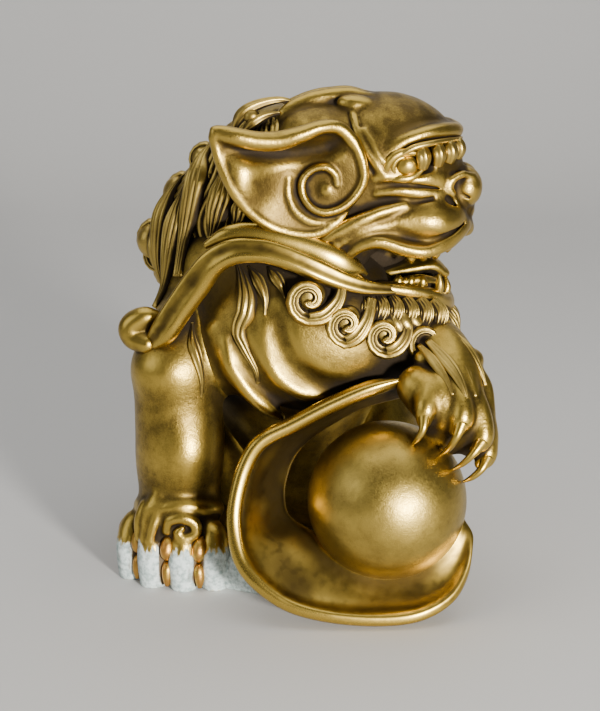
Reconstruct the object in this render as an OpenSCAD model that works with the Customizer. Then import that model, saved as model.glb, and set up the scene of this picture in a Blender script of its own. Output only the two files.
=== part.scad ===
// Guardian lion figure in cast brass: one forepaw on a ball, head turned to its left.
// Millimetres. +Z up, the chest faces -Y, the turned head faces +X.
// Origin: on the resting plane, under the middle of the figure's box.

/* [Ball] */
// Radius of the ball under the raised paw
ball_r = 18.3; // [17:0.1:18.6]
// Height of the ball's centre above the resting plane
ball_z = 25; // [24:0.1:26]

/* [Ribbon round the ball] */
// Half thickness of the band
band_half_thickness = 1.7; // [1.2:0.1:2]

/* [Legs] */
// Radius of the standing foreleg at its middle
foreleg_r = 10.4; // [9:0.1:11]
// Half height of a haunch
haunch_r = 22.5; // [21:0.1:23.5]
// Length of one claw
claw_length = 5; // [4:0.1:6]

/* [Head] */
// Radius of an eyeball
eye_r = 2.9; // [2.2:0.1:3.2]
// Half distance between the two ears, across the head
ear_spread = 18; // [17:0.1:19]
// Depth of an ear's bowl
ear_depth = 3.4; // [2.5:0.1:4]

/* [Smoothness] */
// Sides of a round blob
blob_sides = 20; // [14:2:24]

/* [Hidden] */

head_y = -2;                                  // the head's own middle plane
ball_at = [20, -26.5, ball_z];
bright = "goldenrod";
worn = "darkgoldenrod";
deep = "peru";
green = "lightsteelblue";
big = 400;

// ---------- helpers ----------

// Ellipsoid with the given centre and three radii
module blob(at, r, sides = blob_sides) translate(at) scale(r) sphere(r = 1, $fn = sides);

// One casting skin: its children are fused into a single closed surface
module skin() resize([0, 0, 0]) children();

// Everything above the resting plane
module above_ground() translate([-big / 2, -big / 2, 0]) cube(big);

// Reflection of its children in the head's middle plane
module across_head() translate([0, 2 * head_y, 0]) mirror([0, 1, 0]) children();

function unit(v) = v / max(norm(v), 1e-9);
function xyz(row) = [row[0], row[1], row[2]];

// Catmull-Rom curve through rows of numbers, n steps a stretch
function through(a, b, c, d, t) =
    0.5 * (2 * b + (c - a) * t + (2 * a - 5 * b + 4 * c - d) * t * t
        + (3 * b - a - 3 * c + d) * t * t * t);
function curve(rows, n) = let (last = len(rows) - 1) concat(
    [for (i = [0 : last - 1], k = [0 : n - 1])
        through(rows[max(i - 1, 0)], rows[i], rows[i + 1], rows[min(i + 2, last)], k / n)],
    [rows[last]]);

// Closed sweep over rings of points, with both ends capped
module sweep(rings) {
    sides = len(rings[0]);
    turns = len(rings) - 1;
    polyhedron(
        points = [for (ring = rings) each ring],
        faces = concat(
            [for (i = [0 : turns - 1], s = [0 : sides - 1])
                let (a = i * sides + s, b = i * sides + (s + 1) % sides)
                each [[a, b, b + sides], [a, b + sides, a + sides]]],
            [[for (s = [sides - 1 : -1 : 0]) s]],
            [[for (s = [0 : sides - 1]) turns * sides + s]]),
        convexity = 8);
}
function oval(centre, side, out, sides) =
    [for (s = [0 : sides - 1]) centre + side * cos(360 * s / sides) + out * sin(360 * s / sides)];

// Strap whose rows are [x, y, z, half width, half thickness]; its broad side looks along face
function strap_ring(path, i, face, sides) =
    let (last = len(path) - 1,
         along = unit(xyz(path[min(i + 1, last)]) - xyz(path[max(i - 1, 0)])),
         side = unit(cross(along, face)))
    oval(xyz(path[i]), side * path[i][3], cross(side, along) * path[i][4], sides);
module strap(rows, face = [0, -1, 0], n = 4, sides = 10) {
    path = curve(rows, n);
    sweep([for (i = [0 : len(path) - 1]) strap_ring(path, i, face, sides)]);
}

// Round limb: rows of [x, y, z, radius]
module limb(rows, n = 3, sides = 14)
    strap([for (r = rows) [each r, r[3]]], face = limb_face, n = n, sides = sides);
limb_face = [0.31, -0.9, 0.3];                // slanted to every limb, so that no ring turns over

// Band between two edges: each row is [near x, y, z, far x, y, z]
function near_edge(row) = [row[0], row[1], row[2]];
function far_edge(row) = [row[3], row[4], row[5]];
function band_ring(path, i, half_thickness, sides) =
    let (last = len(path) - 1,
         half = (near_edge(path[i]) - far_edge(path[i])) / 2,
         centre = (near_edge(path[i]) + far_edge(path[i])) / 2,
         along = near_edge(path[min(i + 1, last)]) - near_edge(path[max(i - 1, 0)]))
    oval(centre, half, unit(cross(half, along)) * half_thickness, sides);
module band(rows, half_thickness, n = 3, sides = 12) {
    path = curve(rows, n);
    sweep([for (i = [0 : len(path) - 1]) band_ring(path, i, half_thickness, sides)]);
}

// ---------- solid forms, before they are trimmed to each other ----------

module torso_form() intersection() {
    union() {
        blob([4, -8, 60], [24, 16.5, 19]);
        blob([-6, 4, 72], [26, 20, 18]);
        blob([-2, 14, 48], [22, 21, 27]);
        blob([0, 22.5, 25], [21, 18.5, 26]);
    }
    above_ground();
}

module mane_form() {
    blob([-8, 3, 90], [23, 19, 24]);
    blob([-20, 14, 80], [19, 20, 22]);
    blob([4, 2, 78], [24, 19, 14]);
    blob([-3, 0, 103], [14, 14, 11.5]);
}

module ball_form() translate(ball_at) sphere(r = ball_r, $fn = 64);

module skull_form() {
    blob([13, head_y, 100], [19, 16, 17]);
    blob([23, head_y, 106.4], [14.6, 13.5, 9.4]);
    blob([28, head_y, 93], [11, 13, 9]);
    blob([38.6, head_y, 94.5], [4.2, 6.4, 4.4]);
    for (side = [-1, 1]) blob([27, head_y + side * 9, 87.5], [10, 5.6, 5.2]);
}

module foreleg_form() {
    limb([[-24, -3, 66, 9], [-28, -6, 54, 11.4], [-29, -8, 42, foreleg_r + 0.9],
          [-29, -8, 30, foreleg_r], [-29, -8.6, 18, foreleg_r - 0.2], [-29.5, -10, 8, foreleg_r + 0.8],
          [-29.5, -11, -2, foreleg_r + 1]]);
}

// The four toes of the standing forepaw, fanned out to its front and side
toe_at = [[-40.4, -11.5], [-36.5, -16], [-30, -18.4], [-22.6, -18]];
module foretoes() for (t = toe_at) blob([t[0], t[1], 5], [4.2, 4.4, 6.2], 16);

module arm_form() {
    limb([[20, -4, 62, 9], [27, -10, 59, 8.5], [33, -18, 58, 7.5], [35.5, -25, 53.5, 7.8],
          [35.5, -29.5, 47.5, 8], [36, -31, 43, 6]]);
}

grip_toe = [[27.5, -30.5, 48.5], [33.5, -34, 46], [39.8, -33, 42.5], [41.5, -28.5, 38.5]];
module gripping_toes() for (t = grip_toe) blob(t, [3.4, 3.8, 4.6], 14);

// Haunch of the seated figure, with its foot pointing forwards
module haunch_form(side) {
    blob([side * 19, 20, 22], [13.5, 16.5, haunch_r]);
    limb([[side * 20.5, 27, 8, 8.4], [side * 22, 18, 7, 7.4], [side * 22.5, 11.5, 5.6, 6.8]]);
}
hind_toe_y = [8.4, 7.2, 7.8];
hind_toe_gap = 5.2;
module hind_toes(side) for (k = [0 : 2])
    blob([side * 22.5 + (k - 1) * hind_toe_gap, hind_toe_y[k], 4.3], [3.2, 4.6, 4.8], 14);

// ---------- pieces ----------

module torso() color(bright) skin() torso_form();

module mane() color(worn) skin() difference() {
    mane_form();
    torso_form();
    skull_form();
}

// Flame-shaped locks that hang over the flank, the shoulder and the chest
lock_rows = [
    [[-16, -16, 84, 3, 1.6], [-21, -17, 74, 4, 2], [-27, -15, 62, 3.4, 1.8], [-29, -16.5, 50, 1, 0.8]],
    [[-10, -18, 80, 3.4, 1.8], [-12, -21, 70, 4, 2], [-15, -22.5, 60, 3.2, 1.8], [-13, -23.5, 50, 1, 0.8]],
    [[-4, -19, 78, 3, 1.8], [-7, -23, 68, 3.6, 2], [-10, -25, 59, 2.6, 1.6], [-8, -25.5, 50, 1, 0.8]],
    [[-30, -4, 84, 4, 2], [-35, -3, 72, 4.4, 2.2], [-36, -6, 60, 3.6, 2], [-38, -8, 50, 1, 0.8]]
];
module mane_locks() color(worn) skin() difference() {
    for (rows = lock_rows) strap(rows, face = [-0.4, -0.9, 0], n = 3, sides = 8);
    torso_form();
    mane_form();
    foreleg_form();
}

// Row of round curls under the cheek, across the top of the chest
chest_curl_at = [[4, -22.5, 70.5], [11.5, -23, 65], [19.5, -23, 64.5], [27, -20, 63]];
module chest_curls() color(worn) skin() difference() {
    for (c = chest_curl_at)
        translate(c) rotate([90, 0, 0]) cylinder(h = 8, r = 4.6, center = true, $fn = 20);
    torso_form();
    mane_form();
}

// Curls down the back of the neck and the spine
spine_curl_at = [[-35, 18, 91], [-38, 20, 79], [-34, 27, 68], [-24, 31, 62], [-12, 33.5, 57]];
module spine_curls() color(worn) skin() difference() {
    for (c = spine_curl_at) blob(c, [5, 5, 6.4], 14);
    torso_form();
    mane_form();
}

module skull() color(bright) skin() skull_form();

// Tight curls over each eye
brow_curl_x = [24, 29, 33.5];
module brow_curls() color(worn) skin() difference() {
    for (side = [-1, 1], x = brow_curl_x)
        blob([x, head_y + side * (24 - x * 0.45), 105 - x * 0.05], [2.4, 2.6, 2.6], 12);
    skull_form();
}

module lower_jaw() color(bright) skin() difference() {
    union() {
        blob([17, head_y, 71.5], [13, 13, 6]);
        blob([27, head_y, 69.5], [10.5, 10.5, 5.4]);
    }
    translate([4, head_y - 8, 73.5]) cube([40, 16, 8]);
    torso_form();
    mane_form();
}

module tongue() color(deep) skin() difference() {
    strap([[14, head_y, 75.6, 6, 1.8], [24, head_y, 76.2, 6, 1.7], [33, head_y, 77.4, 4, 1.2]],
        face = [0, 0, 1], n = 3);
    mane_form();
    torso_form();
    skull_form();
}

// Four fangs: two hang from the upper lip, two stand on the jaw
module teeth() color(bright) for (side = [-1, 1]) {
    translate([35, head_y + side * 7, 84.5]) rotate([180, 0, 0])
        cylinder(h = 5, r1 = 1.5, r2 = 0.4, $fn = 24);
    translate([32.6, head_y + side * 7.4, 74]) cylinder(h = 5.5, r1 = 1.7, r2 = 0.4, $fn = 24);
}

module eyeballs() color(bright) difference() {
    for (side = [-1, 1]) translate([26, head_y + side * 13.4, 99.4]) sphere(r = eye_r, $fn = 32);
    skin() skull_form();
}

// Tufts that hang from the chin
beard_rows = [
    [[30, -11, 66, 3.4, 2.2], [33, -12, 60, 3, 2], [33.5, -13, 55, 1, 0.8]],
    [[34, -5, 66, 3.4, 2.2], [37, -5, 59, 3, 2], [38, -6, 53.5, 1, 0.8]],
    [[34, 1, 66, 3.4, 2.2], [37, 2, 59, 3, 2], [37, 3, 53.5, 1, 0.8]]
];
module beard() color(worn) skin() difference() {
    for (rows = beard_rows) strap(rows, face = [1, -0.3, 0], n = 3, sides = 8);
    blob([17, head_y, 71.5], [13, 13, 6]);
    blob([27, head_y, 69.5], [10.5, 10.5, 5.4]);
    torso_form();
    arm_form();
}

// Outline of an ear seen from the side of the head, from its pointed tip round the front to the lobe
ear_outline = [
    [-19.3, 109.3], [-10, 107.6], [0, 109.3], [7, 110.6], [12.5, 107], [15.2, 99],
    [13.5, 91], [8, 85.6], [0, 84.2], [-7.5, 87], [-13.5, 92.8], [-17.5, 101]
];
module ear_plate(grow) linear_extrude(height = 3, center = true)
    offset(r = grow, $fn = 16) polygon(ear_outline);
module right_ear_form() translate([0, head_y - ear_spread, 0]) rotate([90, 0, 0]) difference() {
    hull() {
        translate([0, 0, ear_depth / 2]) ear_plate(0);
        translate([3, 3, -ear_depth]) scale([0.8, 0.98, 1]) ear_plate(-3);
    }
    hull() {
        translate([0, 0, ear_depth / 2 + 1.5]) ear_plate(-1.8);
        translate([3, 3, 0.6 - ear_depth + 1.5]) scale([0.8, 0.98, 1]) ear_plate(-5);
    }
}
module ear_scroll() translate([5, head_y - ear_spread, 95.5]) rotate([90, 0, 0])
    strap([for (k = [0 : 6 : 30]) let (a = k * 18, r = 7.4 - k * 0.18)
        [r * cos(a + 200), -r * sin(a + 200), 1.5 + k * 0.03, 1.1, 1.5]], face = [0, 0, 1], n = 3, sides = 6);

module right_ear() color(bright) skin() difference() {
    union() {
        right_ear_form();
        ear_scroll();
    }
    skull_form();
    mane_form();
}

module left_ear() color(bright) skin() difference() {
    across_head() {
        right_ear_form();
        ear_scroll();
    }
    skull_form();
    mane_form();
}

// Ribbon from the corner of the mouth, back over the shoulder, with a flared swallow tail
module shoulder_ribbon() color(bright) skin() difference() {
    union() {
        strap([[17, -17.5, 75, 2.4, 1.6], [11, -20, 77.6, 3.6, 2], [4, -21.5, 80, 3.8, 2.2],
               [-4, -22, 82.8, 3.8, 2.2], [-12, -21.5, 83.2, 3.8, 2.2], [-19.5, -19.5, 79, 3.8, 2.2],
               [-25, -18, 72, 3.8, 2.2], [-30, -16.5, 64.5, 3.8, 2.2], [-34, -15, 59, 3.4, 1.8]],
            face = [-0.3, -0.9, 0.3], n = 3);
        strap([[-31, -15, 62, 3, 1.6], [-37, -11, 61, 4.5, 1.8], [-42.4, -8, 62, 3.4, 1.2]],
            face = [0, -0.4, 1], n = 3);
    }
    torso_form();
    mane_form();
    foreleg_form();
}

// Near and far edge of the band that leaves the chest, runs down outside the ball and cradles it
band_rows = [
    [25, -24, 53, 25.6, -16, 47], [16, -26, 51.6, 16.3, -15, 44.6], [7, -27, 48, 9.4, -14, 41],
    [-2, -28, 43.5, 2.3, -14, 36], [-9, -29, 40, -1, -15, 32.5], [-12.6, -30, 34.6, -3, -16.5, 28.5],
    [-14.8, -32, 27, -4, -18.5, 23], [-15.1, -34, 20.5, -2.6, -21.4, 18.8],
    [-13.5, -36.4, 14, 1.4, -25.2, 15.8], [-9.4, -39, 9.3, 5.4, -29.6, 14.4],
    [-2.2, -41, 5, 8.6, -32.2, 12.4], [7, -42, 2.9, 13.4, -34.3, 10.3],
    [18, -42, 2.2, 19.4, -34.9, 9.2], [27, -41, 3, 26.5, -34.6, 10.4],
    [34, -38, 6, 31.7, -33.5, 13.4], [37.6, -34, 11, 35, -32, 17],
    [38.2, -31, 16, 36.6, -30.4, 20], [37.6, -28.4, 19.6, 37, -28.4, 21.6]
];
module ball_ribbon_form() band(band_rows, band_half_thickness);

module ball_ribbon() color(bright) skin() difference() {
    intersection() {
        ball_ribbon_form();
        above_ground();
    }
    ball_form();
    torso_form();
}

module ball() color(bright) ball_form();

module right_front_leg() color(bright) skin() difference() {
    intersection() {
        union() {
            foreleg_form();
            foretoes();
        }
        above_ground();
    }
    torso_form();
    mane_form();
}

// A claw points down and outwards from the end of a toe
module claw(at, turn, lean) translate(at) rotate([0, 0, turn]) rotate([lean, 0, 0])
    cylinder(h = claw_length, r1 = 1.5, r2 = 0.5, $fn = 16);

toe_turn = [-70, -35, -10, 15];
claw_root = 3.4;                              // how far a claw starts from its toe's middle
claw_lean = 165;                              // claws point down and a little outwards
module right_front_claws() color(deep) difference() {
    for (k = [0 : 3])
        let (out = [sin(toe_turn[k]), -cos(toe_turn[k])] * claw_root)
        claw([toe_at[k][0] + out[0], toe_at[k][1] + out[1], 6.4], toe_turn[k], claw_lean);
    skin() foretoes();
}

// Thin cast web on the resting plane between the standing paw and the ribbon
module foot_web() color(green) skin() difference() {
    hull() {
        translate([-21, -14, 0]) cylinder(h = 5, r = 5, $fn = 20);
        translate([-12.5, -20, 0]) cylinder(h = 2, r = 3, $fn = 20);
    }
    foreleg_form();
    foretoes();
    ball_ribbon_form();
}

module left_front_leg() color(bright) skin() difference() {
    union() {
        arm_form();
        gripping_toes();
    }
    torso_form();
    ball_form();
}

grip_claw_end = [[25.6, -34.5, 41.5], [31, -38.2, 39.6], [35.6, -37.6, 36.2], [39.6, -33.6, 33.6]];
module left_front_claws() color(bright) skin() difference() {
    for (k = [0 : 3])
        let (arch = (grip_toe[k] + grip_claw_end[k]) / 2 + [0, -1.4, 0.6])
        strap([[each grip_toe[k], 1.7, 1.5], [each arch, 1.5, 1.3], [each grip_claw_end[k], 0.6, 0.5]],
            face = [1, 0, 0], n = 2, sides = 8);
    gripping_toes();
    arm_form();
    ball_form();
}

module haunch(side) color(bright) skin() difference() {
    intersection() {
        union() {
            haunch_form(side);
            hind_toes(side);
        }
        above_ground();
    }
    torso_form();
    foreleg_form();
}
module right_haunch() haunch(-1);
module left_haunch() haunch(1);

module hind_claws() color(deep) difference() {
    for (side = [-1, 1], k = [0 : 2])
        claw([side * 22.5 + (k - 1) * hind_toe_gap, hind_toe_y[k] - 4, 5.8], 0, claw_lean);
    skin() for (side = [-1, 1]) hind_toes(side);
}

// Tail swept up over the rump and the back as a plume of flames
plume_rows = [
    [[0, 39.6, 22, 5, 3], [0, 41.4, 33, 7, 3.4], [-1, 40.2, 46, 8, 3.4], [-3, 37, 60, 5, 2.6],
     [-4, 35, 70, 1.2, 1]],
    [[6, 38.6, 28, 4, 2.6], [12, 38, 38, 5, 2.8], [14, 35, 50, 3.4, 2.2], [11, 32, 59, 1, 0.8]],
    [[-6, 38.6, 28, 4, 2.6], [-13, 38, 38, 5, 2.8], [-16, 35, 48, 3.4, 2.2], [-14, 33, 56, 1, 0.8]]
];
module tail_plume() color(worn) skin() difference() {
    for (rows = plume_rows) strap(rows, face = [0, 1, 0.2], n = 3, sides = 8);
    torso_form();
    mane_form();
    for (c = spine_curl_at) blob(c, [5, 5, 6.4], 14);
    for (side = [-1, 1]) haunch_form(side);
}

torso();
mane();
mane_locks();
chest_curls();
spine_curls();
skull();
brow_curls();
lower_jaw();
tongue();
teeth();
eyeballs();
beard();
right_ear();
left_ear();
shoulder_ribbon();
ball_ribbon();
ball();
right_front_leg();
right_front_claws();
foot_web();
left_front_leg();
left_front_claws();
right_haunch();
left_haunch();
hind_claws();
tail_plume();
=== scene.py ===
"""Cast-brass guardian lion: its looks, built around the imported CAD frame.

Forms are worked out in millimetres and written to the meshes in metres. A cast form is a signed-distance
field that is meshed on a grid; hair, ribbons and claws are profiles carried along paths.
"""
import logging
import math
from dataclasses import dataclass, field
from enum import Enum
from typing import Callable, Iterable, Optional, Sequence

import bpy
import numpy as np
from mathutils import Matrix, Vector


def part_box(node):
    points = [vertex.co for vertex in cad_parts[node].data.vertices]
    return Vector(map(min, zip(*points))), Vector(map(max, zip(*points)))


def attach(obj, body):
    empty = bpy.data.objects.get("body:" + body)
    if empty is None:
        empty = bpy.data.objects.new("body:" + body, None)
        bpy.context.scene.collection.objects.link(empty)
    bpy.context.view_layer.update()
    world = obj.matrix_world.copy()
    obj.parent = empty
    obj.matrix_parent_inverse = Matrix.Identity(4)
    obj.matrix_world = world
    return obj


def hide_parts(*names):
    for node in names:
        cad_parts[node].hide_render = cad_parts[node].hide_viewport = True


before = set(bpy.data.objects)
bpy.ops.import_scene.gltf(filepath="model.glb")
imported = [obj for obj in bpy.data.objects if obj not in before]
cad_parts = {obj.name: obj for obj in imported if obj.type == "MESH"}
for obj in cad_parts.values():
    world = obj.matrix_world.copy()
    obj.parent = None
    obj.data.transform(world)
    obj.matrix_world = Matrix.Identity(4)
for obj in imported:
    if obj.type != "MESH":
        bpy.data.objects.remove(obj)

log = logging.getLogger("lion")

MM = 0.001                      # one millimetre in the frame's metres
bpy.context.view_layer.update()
HEAD_Y = -2.0                   # the head's own middle plane
FAR = 1000.0                    # distance given to points well away from a form
SPARE = 3.0                     # how far past its fillet a form is still worked out

Array = np.ndarray
Row = Sequence[float]


# ---------- vectors and curves ----------

def unit(v: Array) -> Array:
    """Rows of v scaled to length one."""
    return v / np.maximum(np.linalg.norm(v, axis=-1, keepdims=True), 1e-9)


def curve(rows: Sequence[Row], steps: int) -> Array:
    """Smooth line through rows of numbers, by the Catmull-Rom cubic of each four neighbours.

    Args:
        rows: the points, with any further numbers such as widths.
        steps: how many parts each stretch is cut into.

    Returns:
        The rows along the line, ends included.
    """
    r = np.asarray(rows, float)
    a, b = np.vstack([r[:1], r[:-2]]), r[:-1]
    c, d = r[1:], np.vstack([r[2:], r[-1:]])
    t = (np.arange(steps) / steps)[None, :, None]
    a, b, c, d = (x[:, None, :] for x in (a, b, c, d))
    bend, twist = 2 * a - 5 * b + 4 * c - d, 3 * b - a - 3 * c + d
    line = 0.5 * (2 * b + (c - a) * t + bend * t * t + twist * t ** 3)
    return np.vstack([line.reshape(-1, r.shape[1]), r[-1:]])


def smooth_step(low: float, high: float, x: Array) -> Array:
    """0 below low, 1 above high, and the cubic ease between."""
    t = np.clip((x - low) / (high - low), 0, 1)
    return t * t * (3 - 2 * t)


def turned(degrees: Row) -> Array:
    """Rotation matrix that turns about X, then Y, then Z."""
    (cx, sx), (cy, sy), (cz, sz) = ((math.cos(math.radians(a)), math.sin(math.radians(a))) for a in degrees)
    about_x = np.array([[1, 0, 0], [0, cx, -sx], [0, sx, cx]])
    about_y = np.array([[cy, 0, sy], [0, 1, 0], [-sy, 0, cy]])
    about_z = np.array([[cz, -sz, 0], [sz, cz, 0], [0, 0, 1]])
    return about_z @ about_y @ about_x


# ---------- forms: signed distance, negative inside ----------

class Form:
    """A solid given by its signed distance, with the box that holds it."""
    low: Array
    high: Array

    def distance(self, at: Array) -> Array:
        """Signed distance of each point."""
        raise NotImplementedError

    def near(self, at: Array, reach: float) -> Array:
        """Which points lie within reach of the form's box."""
        return np.all((at > self.low - reach) & (at < self.high + reach), axis=1)

    def slope(self, at: Array, eps: float = 0.04) -> tuple[Array, Array]:
        """Distance and its gradient at each point, by forward differences."""
        here = self.distance(at)
        steps = [(self.distance(at + eps * axis) - here) / eps for axis in np.eye(3)]
        return here, np.stack(steps, axis=1)

    def settle(self, points: Sequence[Row], lift: float = 0.0) -> Array:
        """Points moved onto the surface along its gradient, then lifted off it."""
        at = np.array(points, float)
        for _ in range(6):
            here, grad = self.slope(at)
            at = at - grad * (here / np.maximum((grad ** 2).sum(1), 1e-3))[:, None] * 0.9
        return at + unit(self.slope(at)[1]) * lift


class Blob(Form):
    """Ellipsoid, turned about its centre."""

    def __init__(self, centre: Row, radii: Row, turn: Row = (0, 0, 0)) -> None:
        """Keeps the centre, the three radii and the turn in degrees."""
        self.centre, self.radii, self.frame = np.array(centre, float), np.array(radii, float), turned(turn)
        half = np.sqrt(((self.frame * self.radii) ** 2).sum(1))
        self.low, self.high = self.centre - half, self.centre + half

    def distance(self, at: Array) -> Array:
        """Length over radii, less one, scaled back by the local gradient."""
        local = (at - self.centre) @ self.frame
        k0 = np.linalg.norm(local / self.radii, axis=1)
        k1 = np.linalg.norm(local / self.radii ** 2, axis=1)
        return k0 * (k0 - 1) / np.maximum(k1, 1e-6)


class Tube(Form):
    """Round or flattened tube along a smooth line: rows are [x, y, z, radius] or [x, y, z, half width,
    half height]."""

    def __init__(self, rows: Sequence[Row], steps: int = 7, face: Row = (0, -1, 0)) -> None:
        """Works out the line's stretches; face is the way that a flattened tube's broad side looks."""
        self.line = curve(rows, steps)
        self.run = np.diff(self.line, axis=0)
        along = unit(self.run[:, :3])
        side = unit(np.cross(along, np.array(face, float)))
        self.axes = np.stack([side, unit(np.cross(side, along)), along], axis=1)
        widest = self.line[:, 3:].max()
        self.low, self.high = self.line[:, :3].min(0) - widest, self.line[:, :3].max(0) + widest

    def distance(self, at: Array) -> Array:
        """Distance to the two stretches beside each point's nearest row, with the width eased from end
        to end."""
        rows = self.line[:, :3]
        squares = (at ** 2).sum(1)[:, None] + (rows ** 2).sum(1) - 2 * at @ rows.T
        gap = np.sqrt(np.maximum(squares, 0)) - self.line[:, 3]
        nearest, best = np.argmin(gap, axis=1), np.full(len(at), FAR)
        for shift in (-1, 0):
            i = np.clip(nearest + shift, 0, len(self.run) - 1)
            start, run = self.line[i], self.run[i]
            off = at - start[:, :3]
            share = (off * run[:, :3]).sum(1) / np.maximum((run[:, :3] ** 2).sum(1), 1e-9)
            share = np.clip(share, 0, 1)[:, None]
            off, width = off - share * run[:, :3], start[:, 3:] + share * run[:, 3:]
            if width.shape[1] > 1:
                local = np.einsum("nij,nj->ni", self.axes[i], off)
                radii = width[:, [0, 1, 0]]
                k0 = np.sqrt(((local / radii) ** 2).sum(1))
                k1 = np.sqrt(((local / radii ** 2) ** 2).sum(1))
                found = k0 * (k0 - 1) / np.maximum(k1, 1e-6)
            else:
                found = np.sqrt((off ** 2).sum(1)) - width[:, 0]
            best = np.minimum(best, found)
        return best


def eased_min(a: Array, b: Array, soft: float) -> Array:
    """Lesser of a and b, with a fillet of width soft where they are close."""
    if soft <= 0:
        return np.minimum(a, b)
    h = np.clip(0.5 + 0.5 * (b - a) / soft, 0, 1)
    return b + (a - b) * h - soft * h * (1 - h)


class Join(Form):
    """Forms melted together, each with a fillet."""

    def __init__(self, *parts: Form, soft: float = 2.0) -> None:
        """Keeps the parts and the fillet's width."""
        self.parts, self.soft = parts, soft
        self.low = np.min([p.low for p in parts], axis=0)
        self.high = np.max([p.high for p in parts], axis=0)

    def distance(self, at: Array) -> Array:
        """Eased least distance, leaving out the parts that are far away."""
        return self.blended([self.of(part, at) for part in self.parts])

    def of(self, part: Form, at: Array) -> tuple[Array, Array]:
        """Which points are near a part, and their distances to it."""
        close = part.near(at, self.soft + SPARE)
        return close, part.distance(at[close]) if close.any() else np.zeros(0)

    def blended(self, found: Sequence[tuple[Array, Array]]) -> Array:
        """Eased least of the parts' distances."""
        total = np.full(len(found[0][0]), FAR)
        for close, distances in found:
            total[close] = eased_min(total[close], distances, self.soft)
        return total


class Carved(Form):
    """A form with others cut out of it, each with an eased lip."""

    def __init__(self, body: Form, *tools: Form, soft: float = 0.8) -> None:
        """Keeps the body, the cutting forms and the lip's width."""
        self.body, self.tools, self.soft, self.low, self.high = body, tools, soft, body.low, body.high

    def distance(self, at: Array) -> Array:
        """Body's distance, raised to the negative of each tool's."""
        total = self.body.distance(at)
        for tool in self.tools:
            close = tool.near(at, self.soft + SPARE)
            if close.any():
                total[close] = -eased_min(-total[close], tool.distance(at[close]), self.soft)
        return total


class Above(Form):
    """A form cut level at a height, with everything above kept."""

    def __init__(self, body: Form, height: float = 0.0) -> None:
        """Keeps the form and the height of the cut."""
        self.body, self.height = body, height
        self.low, self.high = body.low.copy(), body.high
        self.low[2] = max(self.low[2], height)

    def distance(self, at: Array) -> Array:
        """Greater of the form's distance and the depth below the cut."""
        return np.maximum(self.body.distance(at), self.height - at[:, 2])


class TwoSided(Form):
    """A form given on the near side of the head's middle plane and reflected to the far side."""

    def __init__(self, body: Form) -> None:
        """Keeps the near half and grows the box over the far half."""
        self.body, self.low, self.high = body, body.low.copy(), body.high.copy()
        self.high[1] = 2 * HEAD_Y - self.low[1]

    def distance(self, at: Array) -> Array:
        """Distance at the point folded over to the near side."""
        folded = at.copy()
        folded[:, 1] = HEAD_Y - np.abs(at[:, 1] - HEAD_Y)
        return self.body.distance(folded)


# ---------- surfaces ----------

@dataclass
class Shell:
    """A closed surface: vertices in millimetres, quads and triangles."""
    points: Array
    quads: Array
    tris: Array = field(default_factory=lambda: np.zeros((0, 3), np.int64))

    def __add__(self, other: "Shell") -> "Shell":
        """Both surfaces side by side in one."""
        start = len(self.points)
        return Shell(np.vstack([self.points, other.points]), np.vstack([self.quads, other.quads + start]),
                     np.vstack([self.tris, other.tris + start]))

    def mirrored(self) -> "Shell":
        """The surface reflected in the head's middle plane, with its faces turned back outwards."""
        points = self.points.copy()
        points[:, 1] = 2 * HEAD_Y - points[:, 1]
        return Shell(points, self.quads[:, ::-1], self.tris[:, ::-1])


def together(shells: Iterable[Shell]) -> Shell:
    """All the surfaces side by side in one."""
    first, *others = shells
    return sum(others, first)


CORNERS = np.array([[i, j, k] for i in (0, 1) for j in (0, 1) for k in (0, 1)])
BLOCK = 4                       # fine steps to a coarse one


def net(d: Array, low: Array, step: float) -> Shell:
    """Surface net of a grid of distances: one vertex in each cell the surface crosses, at the mean of
    its crossings, and one quad across each grid edge that it cuts."""
    inside = d < 0
    spans = [tuple(slice(o, n - 1 + o) for o, n in zip(corner, d.shape)) for corner in CORNERS]
    count = sum(inside[s].astype(np.int8) for s in spans)
    mixed = (count > 0) & (count < 8)
    cells = np.argwhere(mixed)
    index = np.full(mixed.shape, -1, np.int64)
    index[mixed] = np.arange(len(cells))
    total, hits = np.zeros((len(cells), 3)), np.zeros(len(cells))
    for a in range(8):
        for b in range(a + 1, 8):
            if np.abs(CORNERS[a] - CORNERS[b]).sum() != 1:
                continue
            da, db = d[tuple((cells + CORNERS[a]).T)], d[tuple((cells + CORNERS[b]).T)]
            cut = (da < 0) != (db < 0)
            share = np.where(cut, da / np.where(cut, da - db, 1), 0)
            total += cut[:, None] * (CORNERS[a] + share[:, None] * (CORNERS[b] - CORNERS[a]))
            hits += cut
    points = low + step * (cells + total / hits[:, None])
    quads = []
    for axis in range(3):
        first, second = [(1, 2), (2, 0), (0, 1)][axis]
        before = inside[tuple(slice(0, -1) if k == axis else slice(None) for k in range(3))]
        after = inside[tuple(slice(1, None) if k == axis else slice(None) for k in range(3))]
        edge = np.argwhere(before != after)
        kept = ((edge[:, [first, second]] > 0).all(1) & (edge[:, first] < mixed.shape[first])
                & (edge[:, second] < mixed.shape[second]))
        edge = edge[kept]
        shifts = np.zeros((4, 3), np.int64)
        shifts[1:3, first] = 1
        shifts[2:4, second] = 1
        quad = np.stack([index[tuple((edge - s).T)] for s in shifts], axis=1)
        leaving = before[tuple(edge.T)]
        quads.append(np.where(leaving[:, None], quad, quad[:, ::-1]))
    return Shell(points, np.concatenate(quads))


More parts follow.
